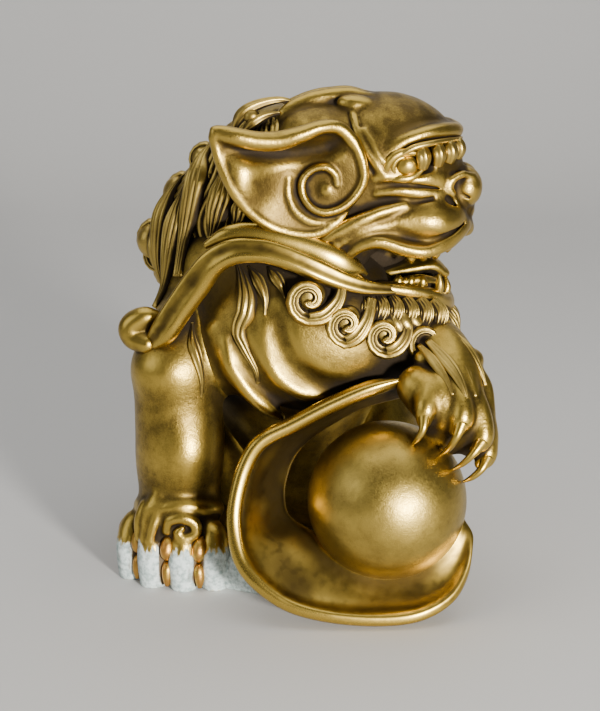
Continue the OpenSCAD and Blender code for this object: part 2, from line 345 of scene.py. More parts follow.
def cast(form: Form, step: float, relief: Optional[Callable[[Array], Array]] = None) -> Shell:
    """Mesh of a form's surface.

    The distance is worked out on a coarse grid, then on a fine one only in the blocks near the surface. The
    net's vertices are drawn onto the true surface by two Newton steps along one gradient.

    Args:
        form: the solid.
        step: size of a fine grid cell in millimetres.
        relief: height of the surface's own detail at each point, if it has any.

    Returns:
        The closed surface.
    """
    coarse = step * BLOCK
    low = form.low - coarse
    blocks = np.ceil((form.high + coarse - low) / coarse).astype(int)
    grid = np.stack(np.meshgrid(*[np.arange(n + 1) for n in blocks], indexing="ij"), -1)
    rough = form.distance((low + coarse * grid).reshape(-1, 3)).reshape(grid.shape[:3])
    spans = [tuple(slice(o, n - 1 + o) for o, n in zip(corner, rough.shape)) for corner in CORNERS]
    close = np.min([np.abs(rough[s]) for s in spans], axis=0) < coarse * 1.05
    fine = np.repeat(np.repeat(np.repeat(rough[:-1, :-1, :-1], BLOCK, 0), BLOCK, 1), BLOCK, 2)
    wanted = np.argwhere(np.repeat(np.repeat(np.repeat(close, BLOCK, 0), BLOCK, 1), BLOCK, 2))
    fine[tuple(wanted.T)] = form.distance(low + step * wanted)
    shell = net(fine, low, step)
    here, grad = form.slope(shell.points)
    pull = grad / np.maximum((grad ** 2).sum(1), 0.05)[:, None]
    shell.points -= np.clip(pull * here[:, None], -step, step)
    shell.points -= np.clip(pull * form.distance(shell.points)[:, None], -step, step)
    if relief is not None:
        shell.points += unit(grad) * relief(shell.points)[:, None]
    return shell


def loft(rings: Array, first: Optional[Array] = None, last: Optional[Array] = None) -> Shell:
    """Closed surface through rings of points, each end drawn to a pole.

    Args:
        rings: array of rings, ring points and coordinates. Seen along the path, the points turn
            anticlockwise.
        first: the pole at the start, or the first ring's middle.
        last: the pole at the end, or the last ring's middle.

    Returns:
        The closed surface.
    """
    n, m = rings.shape[:2]
    first = rings[0].mean(0) if first is None else first
    last = rings[-1].mean(0) if last is None else last
    points = np.vstack([rings.reshape(-1, 3), first[None], last[None]])
    i, j = np.meshgrid(np.arange(n - 1), np.arange(m), indexing="ij")
    a, b = (i * m + j).ravel(), (i * m + (j + 1) % m).ravel()
    quads = np.stack([a, a + m, b + m, b], axis=1)
    j, k = np.arange(m), (np.arange(m) + 1) % m
    start = np.stack([np.full(m, n * m), j, k], axis=1)
    end = np.stack([np.full(m, n * m + 1), (n - 1) * m + k, (n - 1) * m + j], axis=1)
    return Shell(points, quads, np.vstack([start, end]))


Outline = Callable[[Array, Array], tuple[Array, Array]]


def carry(rows: Array, outline: Outline, out: Array, sides: int = 20) -> Shell:
    """A profile carried along a path.

    Args:
        rows: [x, y, z, half width, height] along the path.
        outline: gives side and height shares, each of about one, from the angle round and the share along
            the path.
        out: the way the profile's top looks, for the whole path or for each row.
        sides: points round the profile.

    Returns:
        The closed surface.
    """
    path = rows[:, :3]
    along = unit(np.gradient(path, axis=0))
    side = unit(np.cross(along, np.broadcast_to(out, path.shape)))
    up = np.cross(side, along)
    angle = np.linspace(0, 2 * math.pi, sides, endpoint=False)[None, :]
    share = np.linspace(0, 1, len(path))[:, None]
    across, height = outline(np.broadcast_to(angle, (len(path), sides)),
                             np.broadcast_to(share, (len(path), sides)))
    rings = (path[:, None, :] + side[:, None, :] * (across * rows[:, 3:4])[..., None]
             + up[:, None, :] * (height * rows[:, 4:5])[..., None])
    return loft(rings, path[0], path[-1])


def strands(count: int, groove: float) -> Outline:
    """Profile of a lock of hair: a dome with round strands and sharp valleys between them on its top half.

    The height is the dome's own, lowered towards the valleys by the size of a cosine with one half wave a
    strand.
    """
    def outline(angle: Array, share: Array) -> tuple[Array, Array]:
        """Side and height shares round the lock."""
        across, up = np.cos(angle), np.sin(angle)
        ridge = np.abs(np.cos(0.5 * math.pi * count * across)) ** 0.7
        top = up * (1 - groove + groove * ridge)
        return across, np.where(up > 0, top, 0.6 * up)
    return outline


def plain_round(angle: Array, share: Array) -> tuple[Array, Array]:
    """Round profile."""
    return np.cos(angle), np.sin(angle)


# ---------- shader maths ----------

Colour = tuple[float, float, float]


class Value:
    """A shader number. Operators add Math nodes."""

    def __init__(self, board: "Board", socket: object) -> None:
        """Keeps the node tree and the socket that carries the number."""
        self.board, self.socket = board, socket

    def _math(self, operation: str, a: object, b: object = 0.0) -> "Value":
        """Adds one Math node."""
        return self.board.number("ShaderNodeMath", {"operation": operation}, {0: a, 1: b})

    def __add__(self, other: object) -> "Value":
        """Sum."""
        return self._math("ADD", self, other)

    def __sub__(self, other: object) -> "Value":
        """Difference."""
        return self._math("SUBTRACT", self, other)

    def __rsub__(self, other: object) -> "Value":
        """Difference from a plain number."""
        return self._math("SUBTRACT", other, self)

    def __mul__(self, other: object) -> "Value":
        """Product."""
        return self._math("MULTIPLY", self, other)

    __radd__ = __add__
    __rmul__ = __mul__

    def held(self) -> "Value":
        """The number kept between 0 and 1."""
        return self.board.number("ShaderNodeClamp", {}, {"Value": self})

    def eased(self, low: float, high: float) -> "Value":
        """0 below low, 1 above high and a smooth step between."""
        return self.board.number("ShaderNodeMapRange", {"interpolation_type": "SMOOTHSTEP"},
                                 {"Value": self, "From Min": low, "From Max": high})


class Board:
    """One material's node tree, with a method that makes any node."""

    def __init__(self, name: str) -> None:
        """Makes the material and clears its tree."""
        self.material = bpy.data.materials.new(name)
        self.material.use_nodes = True
        self.tree = self.material.node_tree
        self.tree.nodes.clear()

    def node(self, kind: str, settings: dict, sockets: dict) -> bpy.types.Node:
        """Makes a node.

        Args:
            kind: the node's type.
            settings: its properties, set first.
            sockets: values or links, by the socket's name or number.

        Returns:
            The node.
        """
        made = self.tree.nodes.new(kind)
        for key, value in settings.items():
            setattr(made, key, value)
        for key, value in sockets.items():
            if isinstance(value, Value):
                self.tree.links.new(value.socket, made.inputs[key])
            else:
                made.inputs[key].default_value = value
        return made

    def number(self, kind: str, settings: dict, sockets: dict, output: object = 0) -> Value:
        """Makes a node and wraps one of its outputs."""
        return Value(self, self.node(kind, settings, sockets).outputs[output])

    def mixed(self, a: object, b: object, share: object) -> Value:
        """Colour between a and b."""
        def rgba(c: object) -> object:
            """A plain colour with its alpha."""
            return c if isinstance(c, Value) else (*c, 1.0)
        made = self.node("ShaderNodeMix", {"data_type": "RGBA"}, {})
        for slot, value in ((0, share), (6, rgba(a)), (7, rgba(b))):
            if isinstance(value, Value):
                self.tree.links.new(value.socket, made.inputs[slot])
            else:
                made.inputs[slot].default_value = value
        return Value(self, made.outputs[2])

    def place(self, scale: Row = (1, 1, 1), turn: Row = (0, 0, 0)) -> Value:
        """Object coordinates, scaled and turned in degrees."""
        coordinates = self.number("ShaderNodeTexCoord", {}, {}, "Object")
        return self.number("ShaderNodeMapping", {}, {"Vector": coordinates, "Scale": tuple(scale),
                                                     "Rotation": tuple(math.radians(a) for a in turn)})

    def noise(self, at: Value, cell: float, detail: float = 3.0, roughness: float = 0.55) -> Value:
        """Noise whose cells are about cell millimetres across."""
        return self.number("ShaderNodeTexNoise", {},
                           {"Vector": at, "Scale": 1 / (cell * MM), "Detail": detail,
                                                      "Roughness": roughness})

    def attribute(self, name: str) -> Value:
        """A number stored on the mesh's vertices."""
        return self.number("ShaderNodeAttribute", {"attribute_name": name}, {}, "Fac")

    def bumped(self, height: Value, depth: float, strength: float, under: Optional[Value] = None) -> Value:
        """Normal of a bump, depth in millimetres."""
        sockets = {"Height": height, "Distance": depth * MM, "Strength": strength}
        if under is not None:
            sockets["Normal"] = under
        return self.number("ShaderNodeBump", {}, sockets)


class Wear(Enum):
    """How much handling has rubbed a surface."""
    SHELTERED = 0.0
    HANDLED = 0.5
    POLISHED = 1.0


@dataclass(frozen=True)
class Brass:
    """Antique brass: golden metal, olive-brown patina, hollows darkened by painted shade and grime, and
    rubbed edges.
    """
    name: str
    metal: Colour = (0.52, 0.355, 0.068)
    patina: Colour = (0.10, 0.066, 0.0175)
    # near-black colour of the painted shade and grime in hollows and sheltered places
    shade_and_grime: Colour = (0.030, 0.020, 0.010)
    wear: Wear = Wear.HANDLED
    grain: float = 0.55
    roughness: float = 0.30
    brushing: float = 0.0
    copper: float = 0.0
    # how strongly near shelter adds painted shade and grime
    depth: float = 1.0
    verdigris: bool = False
    detail: float = 4.0

    def material(self) -> bpy.types.Material:
        """Builds the node tree.

        The attribute of sheltered places darkens the hollows with painted shade and grime, the ridge
        attribute brightens the edges, and noise breaks both up. Roughness follows the patina, and the bump is
        a cast grain with fine scratches.
        """
        b = Board(self.name)
        at = b.place()
        mottle = b.noise(at, 7.0, self.detail)
        blotch = b.noise(b.place(turn=(20, 50, 10)), 1.7, self.detail, 0.62)
        speck = b.noise(at, 0.33, 2.0, 0.6)
        # hollow carries the painted shade and grime of sheltered places; ridge is wear on the edges
        hollow, ridge = b.attribute("shade_and_grime"), b.attribute("ridge")
        spots = (speck - 0.5) * (0.22 * self.grain)
        # painted shade with grime: from the hollows and blotches, less on worn ridges
        dirt_and_shade = (hollow * 1.15 + (blotch - 0.5) * 0.55 + spots - ridge * 0.5).held()
        handled = (speck - 0.5) * (0.75 * self.grain) + (0.15 + 0.40 * self.wear.value)
        # rubbed is lowered where shade is painted, so sheltered places take the darker patina
        rubbed = (ridge * 1.2 + (mottle - 0.5) * 0.9 + (blotch - 0.5) * 0.5 + handled - dirt_and_shade * 0.9).held()
        tone = b.mixed(self.patina, self.metal, rubbed.eased(0.05, 0.85))
        # painted shade: the near-black colour is mixed in where shade and grime are strong
        colour = b.mixed(tone, self.shade_and_grime, dirt_and_shade.eased(0.28, 0.92))
        metallic = 1.0 - dirt_and_shade.eased(0.5, 1.0) * 0.2
        rough = self.roughness + (speck - 0.5) * (0.3 * self.grain)
        rough = (rough + (1 - rubbed) * 0.13 + dirt_and_shade * 0.34).held()
        if self.verdigris:
            height = b.number("ShaderNodeSeparateXYZ", {}, {"Vector": b.place()}, "Z")
            streak = b.noise(b.place((1.0, 1.0, 0.22)), 1.0, 3.0)
            low = 1 - (height * (1 / MM) + (streak - 0.5) * 9.0).eased(8.0, 12.5)
            cover = 1.15 + (blotch - 0.5) * 0.7 + (streak - 0.5) * 0.6 - ridge * 0.45
            crust = (low * cover).eased(0.3, 0.7)
            stain = b.noise(b.place((1.0, 1.0, 0.35)), 1.5, 4.0)
            pale = b.mixed((0.29, 0.37, 0.35), (0.66, 0.74, 0.71), b.noise(at, 1.1, 5.0).eased(0.3, 0.65))
            # brown stains in the verdigris, deepened by painted shade in the hollows
            pale = b.mixed(pale, (0.12, 0.085, 0.045), (stain * 1.3 + hollow * 0.9 - 0.42).eased(0.3, 0.7))
            colour = b.mixed(colour, pale, crust)
            metallic = metallic * (1 - crust)
            rough = (rough + crust * 0.6).held()
        if self.copper:
            colour = b.mixed(colour, (0.52, 0.20, 0.055), b.noise(at, 2.0).eased(0.25, 0.6) * self.copper)
        relief = (speck * 0.6 + b.noise(at, 0.9, 3.0) * 0.9) * self.grain
        normal = b.bumped(relief, 0.22, 0.55)
        if self.brushing:
            lines = b.noise(b.place((1.0, 0.07, 0.45), (25, 0, 35)), 0.16, 2.0)
            rough = (rough + (lines - 0.5) * 0.28 * self.brushing).held()
            normal = b.bumped(lines, 0.05, 0.5 * self.brushing, normal)
        shader = b.number("ShaderNodeBsdfPrincipled", {}, {"Base Color": colour, "Metallic": metallic,
                                                           "Roughness": rough, "Normal": normal})
        b.node("ShaderNodeOutputMaterial", {}, {"Surface": shader})
        return b.material


BODY = Brass("satin_brass")
CAST = Brass("cast_brass", wear=Wear.SHELTERED, grain=0.6, metal=(0.50, 0.34, 0.07),
             patina=(0.105, 0.068, 0.018))
HAIR = Brass("hair_brass", metal=(0.50, 0.35, 0.085), patina=(0.095, 0.064, 0.021), grain=0.4, roughness=0.32)
RIBBON = Brass("ribbon_brass", wear=Wear.HANDLED, roughness=0.27, grain=0.12, depth=0.35, detail=0.5)
BALL = Brass("ball_brass", metal=(0.55, 0.39, 0.085), patina=(0.18, 0.122, 0.030), wear=Wear.POLISHED,
             grain=0.35,
             roughness=0.28, brushing=1.0)
FACE = Brass("face_brass", patina=(0.095, 0.064, 0.021), grain=0.5, roughness=0.32)
CLAW = Brass("claw_brass", copper=0.62, wear=Wear.POLISHED, grain=0.5, roughness=0.4)
BRIGHT_CLAW = Brass("worn_claw_brass", wear=Wear.POLISHED, grain=0.3)
FOOT = Brass("verdigris_brass", verdigris=True)


# ---------- the figure ----------

@dataclass
class Piece:
    """One visible piece: its surface, its finish and the CAD nodes that it stands for."""
    name: str
    shell: Shell
    finish: Brass
    slot: str
    nodes: tuple[str, ...]


def neighbours_mean(shell: Shell, values: Array) -> Array:
    """Mean of each vertex's neighbours along the faces' edges."""
    q, t = shell.quads, shell.tris
    ends = [q[:, [0, 1]], q[:, [1, 2]], q[:, [2, 3]], q[:, [3, 0]], t[:, [0, 1]], t[:, [1, 2]], t[:, [2, 0]]]
    a, b = np.concatenate(ends).T
    a, b = np.concatenate([a, b]), np.concatenate([b, a])
    count = np.maximum(np.bincount(a, minlength=len(values)), 1)
    return np.stack([np.bincount(a, values[b, k], len(values)) / count for k in range(values.shape[1])],
                    axis=1)


def vertex_normals(shell: Shell) -> tuple[Array, Array]:
    """Unit normal and a share of the area at each vertex, from the faces round it.

    A face's area vector is half the cross product of a quad's diagonals, or of two of a triangle's sides.
    """
    p, total = shell.points, np.zeros_like(shell.points)
    for corners, (a, b, c, d) in ((shell.quads, (0, 2, 1, 3)), (shell.tris, (0, 1, 0, 2))):
        face = np.cross(p[corners[:, b]] - p[corners[:, a]], p[corners[:, d]] - p[corners[:, c]]) / 2
        for column in corners.T:
            for k in range(3):
                total[:, k] += np.bincount(column, face[:, k], len(p))
    area = np.linalg.norm(total, axis=1)
    return total / np.maximum(area, 1e-9)[:, None], area / 4


class Shade:
    """How sheltered each point of the figure is, from how much surface lies in front of it."""

    def __init__(self, pieces: Sequence[Piece], pitch: float) -> None:
        """Adds up every piece's surface on a grid of the given pitch and spreads it by three box blurs."""
        self.pitch = pitch
        points = np.vstack([p.shell.points for p in pieces])
        areas = np.concatenate([vertex_normals(p.shell)[1] for p in pieces]) / pitch ** 2
        self.low = points.min(0) - 6 * pitch
        size = np.ceil((points.max(0) + 6 * pitch - self.low) / pitch).astype(int)
        cell = ((points - self.low) / pitch).astype(int)
        grid = np.bincount(np.ravel_multi_index(cell.T, size), areas, size.prod()).reshape(size)
        for _ in range(3):
            for axis in range(3):
                grid = (np.roll(grid, 1, axis) + grid + np.roll(grid, -1, axis)) / 3
        self.grid = grid

    def ahead(self, points: Array, normals: Array, reach: float) -> Array:
        """Spread surface at a reach in front of each point, read between the grid's cells."""
        at = (points + normals * reach - self.low) / self.pitch - 0.5
        at = np.clip(at, 0, np.array(self.grid.shape) - 1.001)
        base, share = at.astype(int), at % 1
        total = np.zeros(len(at))
        for corner in CORNERS:
            weight = np.prod(np.where(corner, share, 1 - share), axis=1)
            total += weight * self.grid[tuple((base + corner).T)]
        return total


class Figure:
    """All the pieces, and their way into the scene."""
    BLUR = 1.3                  # millimetres over which a surface's copy is blurred
    NEAR_REACH = 2.6            # how far ahead the near shelter is read
    FAR_REACH = 9.0             # how far ahead the wide shelter is read
    NEAR_PITCH = 1.0            # cells of the two shelter grids
    WIDE_PITCH = 3.0

    def __init__(self) -> None:
        """Starts empty."""
        self.pieces: list[Piece] = []

    def add(self, name: str, shell: Shell, finish: Brass, slot: str, *nodes: str) -> None:
        """Takes a piece in."""
        self.pieces.append(Piece(name, shell, finish, slot, nodes))
        log.info("%s: %d faces", name, len(shell.quads) * 2 + len(shell.tris))

    def marks(self, piece: Piece, close: Shade, wide: Shade) -> tuple[Array, Array]:
        """Painted shade with grime, and ridge, of each vertex.

        Bending is how far the surface stands in front of its own blurred copy. Shelter is how much of the
        figure lies ahead along the normal, near by and farther off. The first mark is painted shade with the
        grime of hollows: it adds shelter and inward bending, and its wide part darkens deep sheltered places
        such as the belly behind the ball and the inside of the mouth. Ridge is outward bending.
        """
        shell = piece.shell
        normals, _ = vertex_normals(shell)
        sides = shell.points[shell.quads[:, 0]] - shell.points[shell.quads[:, 1]]
        edge = np.linalg.norm(sides, axis=1).mean()
        blurred = shell.points
        for _ in range(int(np.clip((self.BLUR / edge) ** 2, 3, 24))):
            blurred = neighbours_mean(shell, blurred)
        bend = ((shell.points - blurred) * normals).sum(1)
        shelter = close.ahead(shell.points, normals, self.NEAR_REACH)
        cave = wide.ahead(shell.points, normals, self.FAR_REACH)
        # painted shade and grime: near shelter, wide shelter and inward bending darken the vertex
        shade_and_grime = np.clip((shelter - 0.10) * 2.2 * piece.finish.depth + (cave - 0.17) * 1.8 - bend * 2.4, 0, 1)
        ridge = np.clip(bend * 4.2 - shelter * 0.6, 0, 1)
        both = np.stack([shade_and_grime, ridge], axis=1)
        for _ in range(2):
            both = 0.5 * both + 0.5 * neighbours_mean(shell, both)
        return both[:, 0], both[:, 1]

    def show(self) -> None:
        """Writes every piece's mesh with its marks, and rides it on the body."""
        close, wide = Shade(self.pieces, self.NEAR_PITCH), Shade(self.pieces, self.WIDE_PITCH)
        materials: dict[str, bpy.types.Material] = {}
        for piece in self.pieces:
            if piece.finish.name not in materials:
                materials[piece.finish.name] = piece.finish.material()
            made = to_object(piece.name, piece.shell, dict(zip(("shade_and_grime", "ridge"), self.marks(piece, close,
                                                                                               wide))))
            made.data.materials.append(materials[piece.finish.name])
            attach(made, "root")
            if piece.nodes:
                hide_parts(*piece.nodes)


def to_object(name: str, shell: Shell, marks: dict[str, Array]) -> bpy.types.Object:
    """Writes a shell into a smooth-shaded mesh object, in metres, with its marks as vertex attributes."""
    mesh = bpy.data.meshes.new(name)
    mesh.vertices.add(len(shell.points))
    mesh.vertices.foreach_set("co", (shell.points * MM).astype(np.float32).ravel())
    corners = np.concatenate([shell.quads.ravel(), shell.tris.ravel()])
    starts = np.concatenate([np.arange(len(shell.quads)) * 4,
                             len(shell.quads) * 4 + np.arange(len(shell.tris)) * 3])
    mesh.loops.add(len(corners))
    mesh.loops.foreach_set("vertex_index", corners.astype(np.int32))
    mesh.polygons.add(len(starts))
    mesh.polygons.foreach_set("loop_start", starts.astype(np.int32))
    mesh.polygons.foreach_set("use_smooth", np.ones(len(starts), bool))
    mesh.update(calc_edges=True)
    for key, values in marks.items():
        mesh.attributes.new(key, "FLOAT", "POINT").data.foreach_set("value", values.astype(np.float32))
    made = bpy.data.objects.new(name, mesh)
    bpy.context.scene.collection.objects.link(made)
    return made


# ---------- shared forms ----------

class Portion(Form):
    """The stretch of a melted form where one of its parts is the nearest."""

    def __init__(self, whole: Join, part: Form, sunk: float = 0.0, lap: float = 0.8) -> None:
        """Keeps the whole, the part, how far its skin is sunk and how far it laps over its neighbours."""
        self.whole, self.part, self.sunk, self.lap = whole, part, sunk, lap
        self.low, self.high = part.low - whole.soft, part.high + whole.soft

    def distance(self, at: Array) -> Array:
        """Greater of the whole's distance, diving past the seam, and half the lead over the others, less
        the lap."""
        found = [self.whole.of(part, at) for part in self.whole.parts]
        own, others = np.full(len(at), FAR), np.full(len(at), FAR)
        for part, (close, distances) in zip(self.whole.parts, found):
            target = own if part is self.part else others
            target[close] = np.minimum(target[close], distances)
        lead = own - others
        dive = self.sunk + 0.3 * np.maximum(lead, 0)
        return np.maximum(self.whole.blended(found) + dive, 0.5 * lead - self.lap)


def coiled(lead: Sequence[Row], centre: Row, turns: float, hand: int = 1, rise: float = 1.4,
           inner: float = 0.16,
           face: Row = (0, -1, 0), steps: int = 8) -> Array:
    """Path that follows a lead and then winds inwards round a centre, rising towards its eye.

    The radius eases from the lead's last point to a small share of itself while the angle turns evenly.
    """
    lead, centre, out = np.asarray(lead, float), np.asarray(centre, float), unit(np.asarray(face, float))
    first = lead[-1, :3] - centre
    ahead = first - out * (first @ out)
    sideways = np.cross(out, ahead) * hand
    share = np.linspace(0, 1, max(int(turns * 16), 6))[1:]
    angle, size = share * turns * 2 * math.pi, 1 - (1 - inner) * share ** 0.85
    ring = (centre + (first @ out) * out + (np.cos(angle) * size)[:, None] * ahead
            + (np.sin(angle) * size)[:, None] * sideways + (rise * share)[:, None] * out)
    return np.vstack([curve(lead[:, :3], steps)[:-1] if len(lead) > 1 else lead[:0, :3], lead[-1:, :3], ring])


def tapered(path: Array, width: float, height: float, start: float = 0.5, end: float = 0.2,
            belly: float = 0.35) -> Array:
    """Adds half width and height to a path: full at the belly's share of the length and less at both ends."""
    share = np.linspace(0, 1, len(path))
    size = np.where(share < belly, start + (1 - start) * smooth_step(0, belly, share),
                    end + (1 - end) * (1 - smooth_step(belly, 1, share)))
    return np.column_stack([path, width * size, height * size])


@dataclass
class Anatomy:
    """The figure's large forms, which the sub-assemblies share."""
    chest: Form = field(init=False)
    stand: Form = field(init=False)
    reach: Form = field(init=False)
    seat: tuple[Form, Form] = field(init=False)
    melted: Join = field(init=False)
    mane: Form = field(init=False)

    def __post_init__(self) -> None:
        """Makes the forms."""
        trunk = Join(Blob((4, -8, 60), (24, 16.5, 19)), Blob((-6, 4, 72), (26, 20, 18)),
                     Blob((-2, 14, 48), (22, 21, 27)),
                     Blob((0, 22.5, 25), (21, 18.5, 26)), Blob((-15, -7, 58), (9, 10, 12)), soft=7)
        ridges = [Tube([[-12.6, -16.5, 63, 0.8], [-10.0, -18.5, 59.2, 1.7], [-7.3, -20.2, 55.1, 2.0],
                        [-4.8, -21, 51.8, 2.0], [0.5, -20.8, 49, 1.8], [6.9, -19.6, 48.2, 0.9]]),
                  Tube([[-19.6, -15.5, 62.6, 0.9], [-17.6, -17.4, 58.2, 1.9], [-16.1, -18.2, 53.9, 2.2],
                        [-13.1, -18.4, 49.6, 2.3], [-8.8, -18, 45.5, 2.1], [-4.4, -16.6, 41.8, 1.0]])]
        valleys = [Tube([[-8.0, -23, 69.5, 0.6], [-5.6, -23.8, 65.7, 1.5], [-4.8, -24, 61.5, 1.9],
                         [-2.0, -24.4, 56.2, 1.9], [3.9, -24.2, 51.8, 1.5], [10, -23.4, 50, 0.7]]),
                   Tube([[-14.4, -20, 61.5, 0.7], [-12.0, -22, 56.6, 1.3], [-9.2, -22.4, 52, 1.5],
                         [-5.6, -22.4, 48.4, 1.3], [-1, -21.6, 45.4, 0.7]]),
                   Tube([[-20.8, -19, 62.6, 0.6], [-20.2, -20, 58.2, 1.3], [-19.5, -20.4, 53.2, 1.6],
                         [-16.2, -20.6, 47.9, 1.8], [-13.2, -19.8, 43.4, 1.3]])]
        self.chest = Above(Carved(Join(trunk, *ridges, soft=2.6), *valleys, soft=3.2))
        self.stand = Above(Foreleg.leg())
        self.reach = RaisedPaw.arm()
        self.seat = tuple(Above(Haunch.thigh(side)) for side in (-1, 1))
        self.melted = Join(self.chest, self.stand, self.reach, *self.seat, soft=4.0)
        self.mane = Join(Blob((-7, 4, 89), (19.5, 16.5, 21.5)), Blob((-17.5, 13, 79), (17.5, 17.5, 20)),
                         Blob((0, 2, 78), (19, 17, 13)), Blob((-1.5, 1, 102.5), (12, 12, 9.6)), soft=6)


@dataclass
class Torso:
    """Chest, belly and rump."""
    anatomy: Anatomy
    step: float = 0.6

    def build(self, figure: Figure) -> None:
        """Casts the trunk."""
        a = self.anatomy
        figure.add("body_trunk", cast(Portion(a.melted, a.chest, sunk=0.08, lap=1.6), self.step), BODY,
                   "body_brass",
                   "torso")


@dataclass
class Foreleg:
    """The standing foreleg with its paw, claws and the web that ties it to the ribbon."""
    anatomy: Anatomy
    step: float = 0.42

    @staticmethod
    def leg() -> Form:
        """Leg, cuff, paw and toes in one form."""
        shaft = Join(Tube([[-23.5, -2, 65, 8.6], [-26.6, -5, 57, 10.6], [-28.6, -7.0, 50, 11.0],
                           [-29, -7.8, 43, 10.5],
                           [-28.9, -8, 36, 10.6], [-29, -8, 29, 10.6], [-29.1, -8.2, 23, 10.0],
                           [-29.2, -8.6, 18.6, 9.7]]),
                     Blob((-30.6, -9.6, 52.0), (8.8, 9.2, 7.6)),
                     Blob((-27.4, -11.4, 32.4), (7.8, 8.9, 9.6), (0, 6, 0)), soft=3)
        cuff = Join(Tube([[-29.4, -9.2, 14.4, 9.8], [-29.5, -8.4, 8, 8.4], [-29.5, -7.6, 2, 7.8]]), soft=1)
        toes = Join(*[Tube([[x * 0.7 - 8.8, y * 0.7 - 1.6, 14.4, 2.8], [x * 0.94 - 1.6, y + 1.6, 12.4, 3.3],
                            [x, y, 8.8, 3.55], [x - 0.1, y - 0.6, 4.4, 3.4], [x, y - 0.4, 0.6, 3.1]]) for x,
                      y in Foreleg.toes()],
                    soft=0.25)
        collar = Tube([[-39.0, -9.6, 17.4, 0.8], [-36.8, -14.8, 18.4, 1.2], [-32.2, -17.6, 19.6, 1.5],
                       [-26.6, -18.0, 20.0, 1.6], [-21.6, -15.4, 18.6, 1.3], [-19.4, -11.2, 17.0, 0.8]])
        whorl = Tube([[-31.6, -18.9, 14.4, 0.9], [-30.6, -19.4, 17.0, 1.2], [-27.6, -19.6, 17.8, 1.4],
                      [-25.0, -19.4, 16.4, 1.5],
                      [-24.8, -19.6, 14.0, 1.4], [-27.2, -19.9, 12.9, 1.3], [-28.8, -20.1, 14.2, 1.0],
                      [-27.8, -20.2, 15.4, 0.7]])
        hairs = Join(*[Tube([[-37.2 + 2.0 * k, -15.6 - 1.1 * k, 19.6 - 0.3 * k, 0.8],
                             [-38.2 + 1.9 * k, -16.2 - 1.1 * k, 16.2, 1.25],
                             [-38.6 + 1.5 * k, -16.6 - 1.2 * k, 12.0, 0.9]]) for k in range(3)], soft=0.7)
        ankle = Tube([[-33.6, -16.4, 22.6, 0.7], [-35.4, -16.6, 18.6, 1.3], [-37.8, -16.0, 14.6, 1.0]])
        return Join(Join(shaft, cuff, collar, ankle, soft=2.6), toes, whorl, hairs, soft=1.2)

    @staticmethod
    def toes() -> list[tuple[float, float]]:
        """Where the four toes meet the ground."""
        return [(-40.9, -11.4), (-35.3, -16.6), (-27.8, -18.8), (-20.4, -18.2)]

    def claws(self) -> Shell:
        """Two tiers of claws in the clefts of the toes: an upper knob and a lower tip."""
        made = []
        for x, y, lean in ((-42.9, -8.2, -0.3), (-38.9, -15.4, -0.2), (-31.6, -19.9, 0.0),
                           (-24.0, -21.0, 0.2)):
            upper = [[x + 0.6, y + 2.4, 12.4, 1.0, 1.0], [x + 0.2, y + 0.7, 11.2, 1.5, 1.3],
                     [x, y - 0.1, 9.2, 1.5, 1.3], [x, y + 0.4, 7.5, 0.9, 0.7]]
            lower = [[x, y + 1.8, 6.4, 0.7, 0.8], [x, y + 0.1, 5.4, 1.25, 1.2],
                     [x + lean, y - 0.4, 3.0, 1.15, 1.1], [x + lean, y - 0.5, 0.9, 0.5, 0.45]]
            made += [carry(curve(rows, 5), plain_round, np.array([0, -1, 0])) for rows in (upper, lower)]
        return together(made)

    def build(self, figure: Figure) -> None:
        """Casts the leg, its claws and the web."""
        a = self.anatomy
        figure.add("right_foreleg", cast(Portion(a.melted, a.stand), self.step), FOOT, "body_brass",
                   "right_front_leg")
        figure.add("right_foreleg_claws", self.claws(), CLAW, "claw_brass", "right_front_claws")
        web = Join(*[Tube([[-22 + 2.1 * k, -14.5 - 0.9 * k, 1.0 + 7.5 - 0.8 * k, 2.2],
                           [-19.6 + 2.2 * k, -17.8 - 0.8 * k, 4.6, 2.3],
                           [-18.4 + 2.1 * k, -18.4 - 0.9 * k, 1.0, 1.5]]) for k in range(5)], soft=1.4)
        figure.add("foot_web", cast(Above(web), 0.4), FOOT, "verdigris_brass", "foot_web")


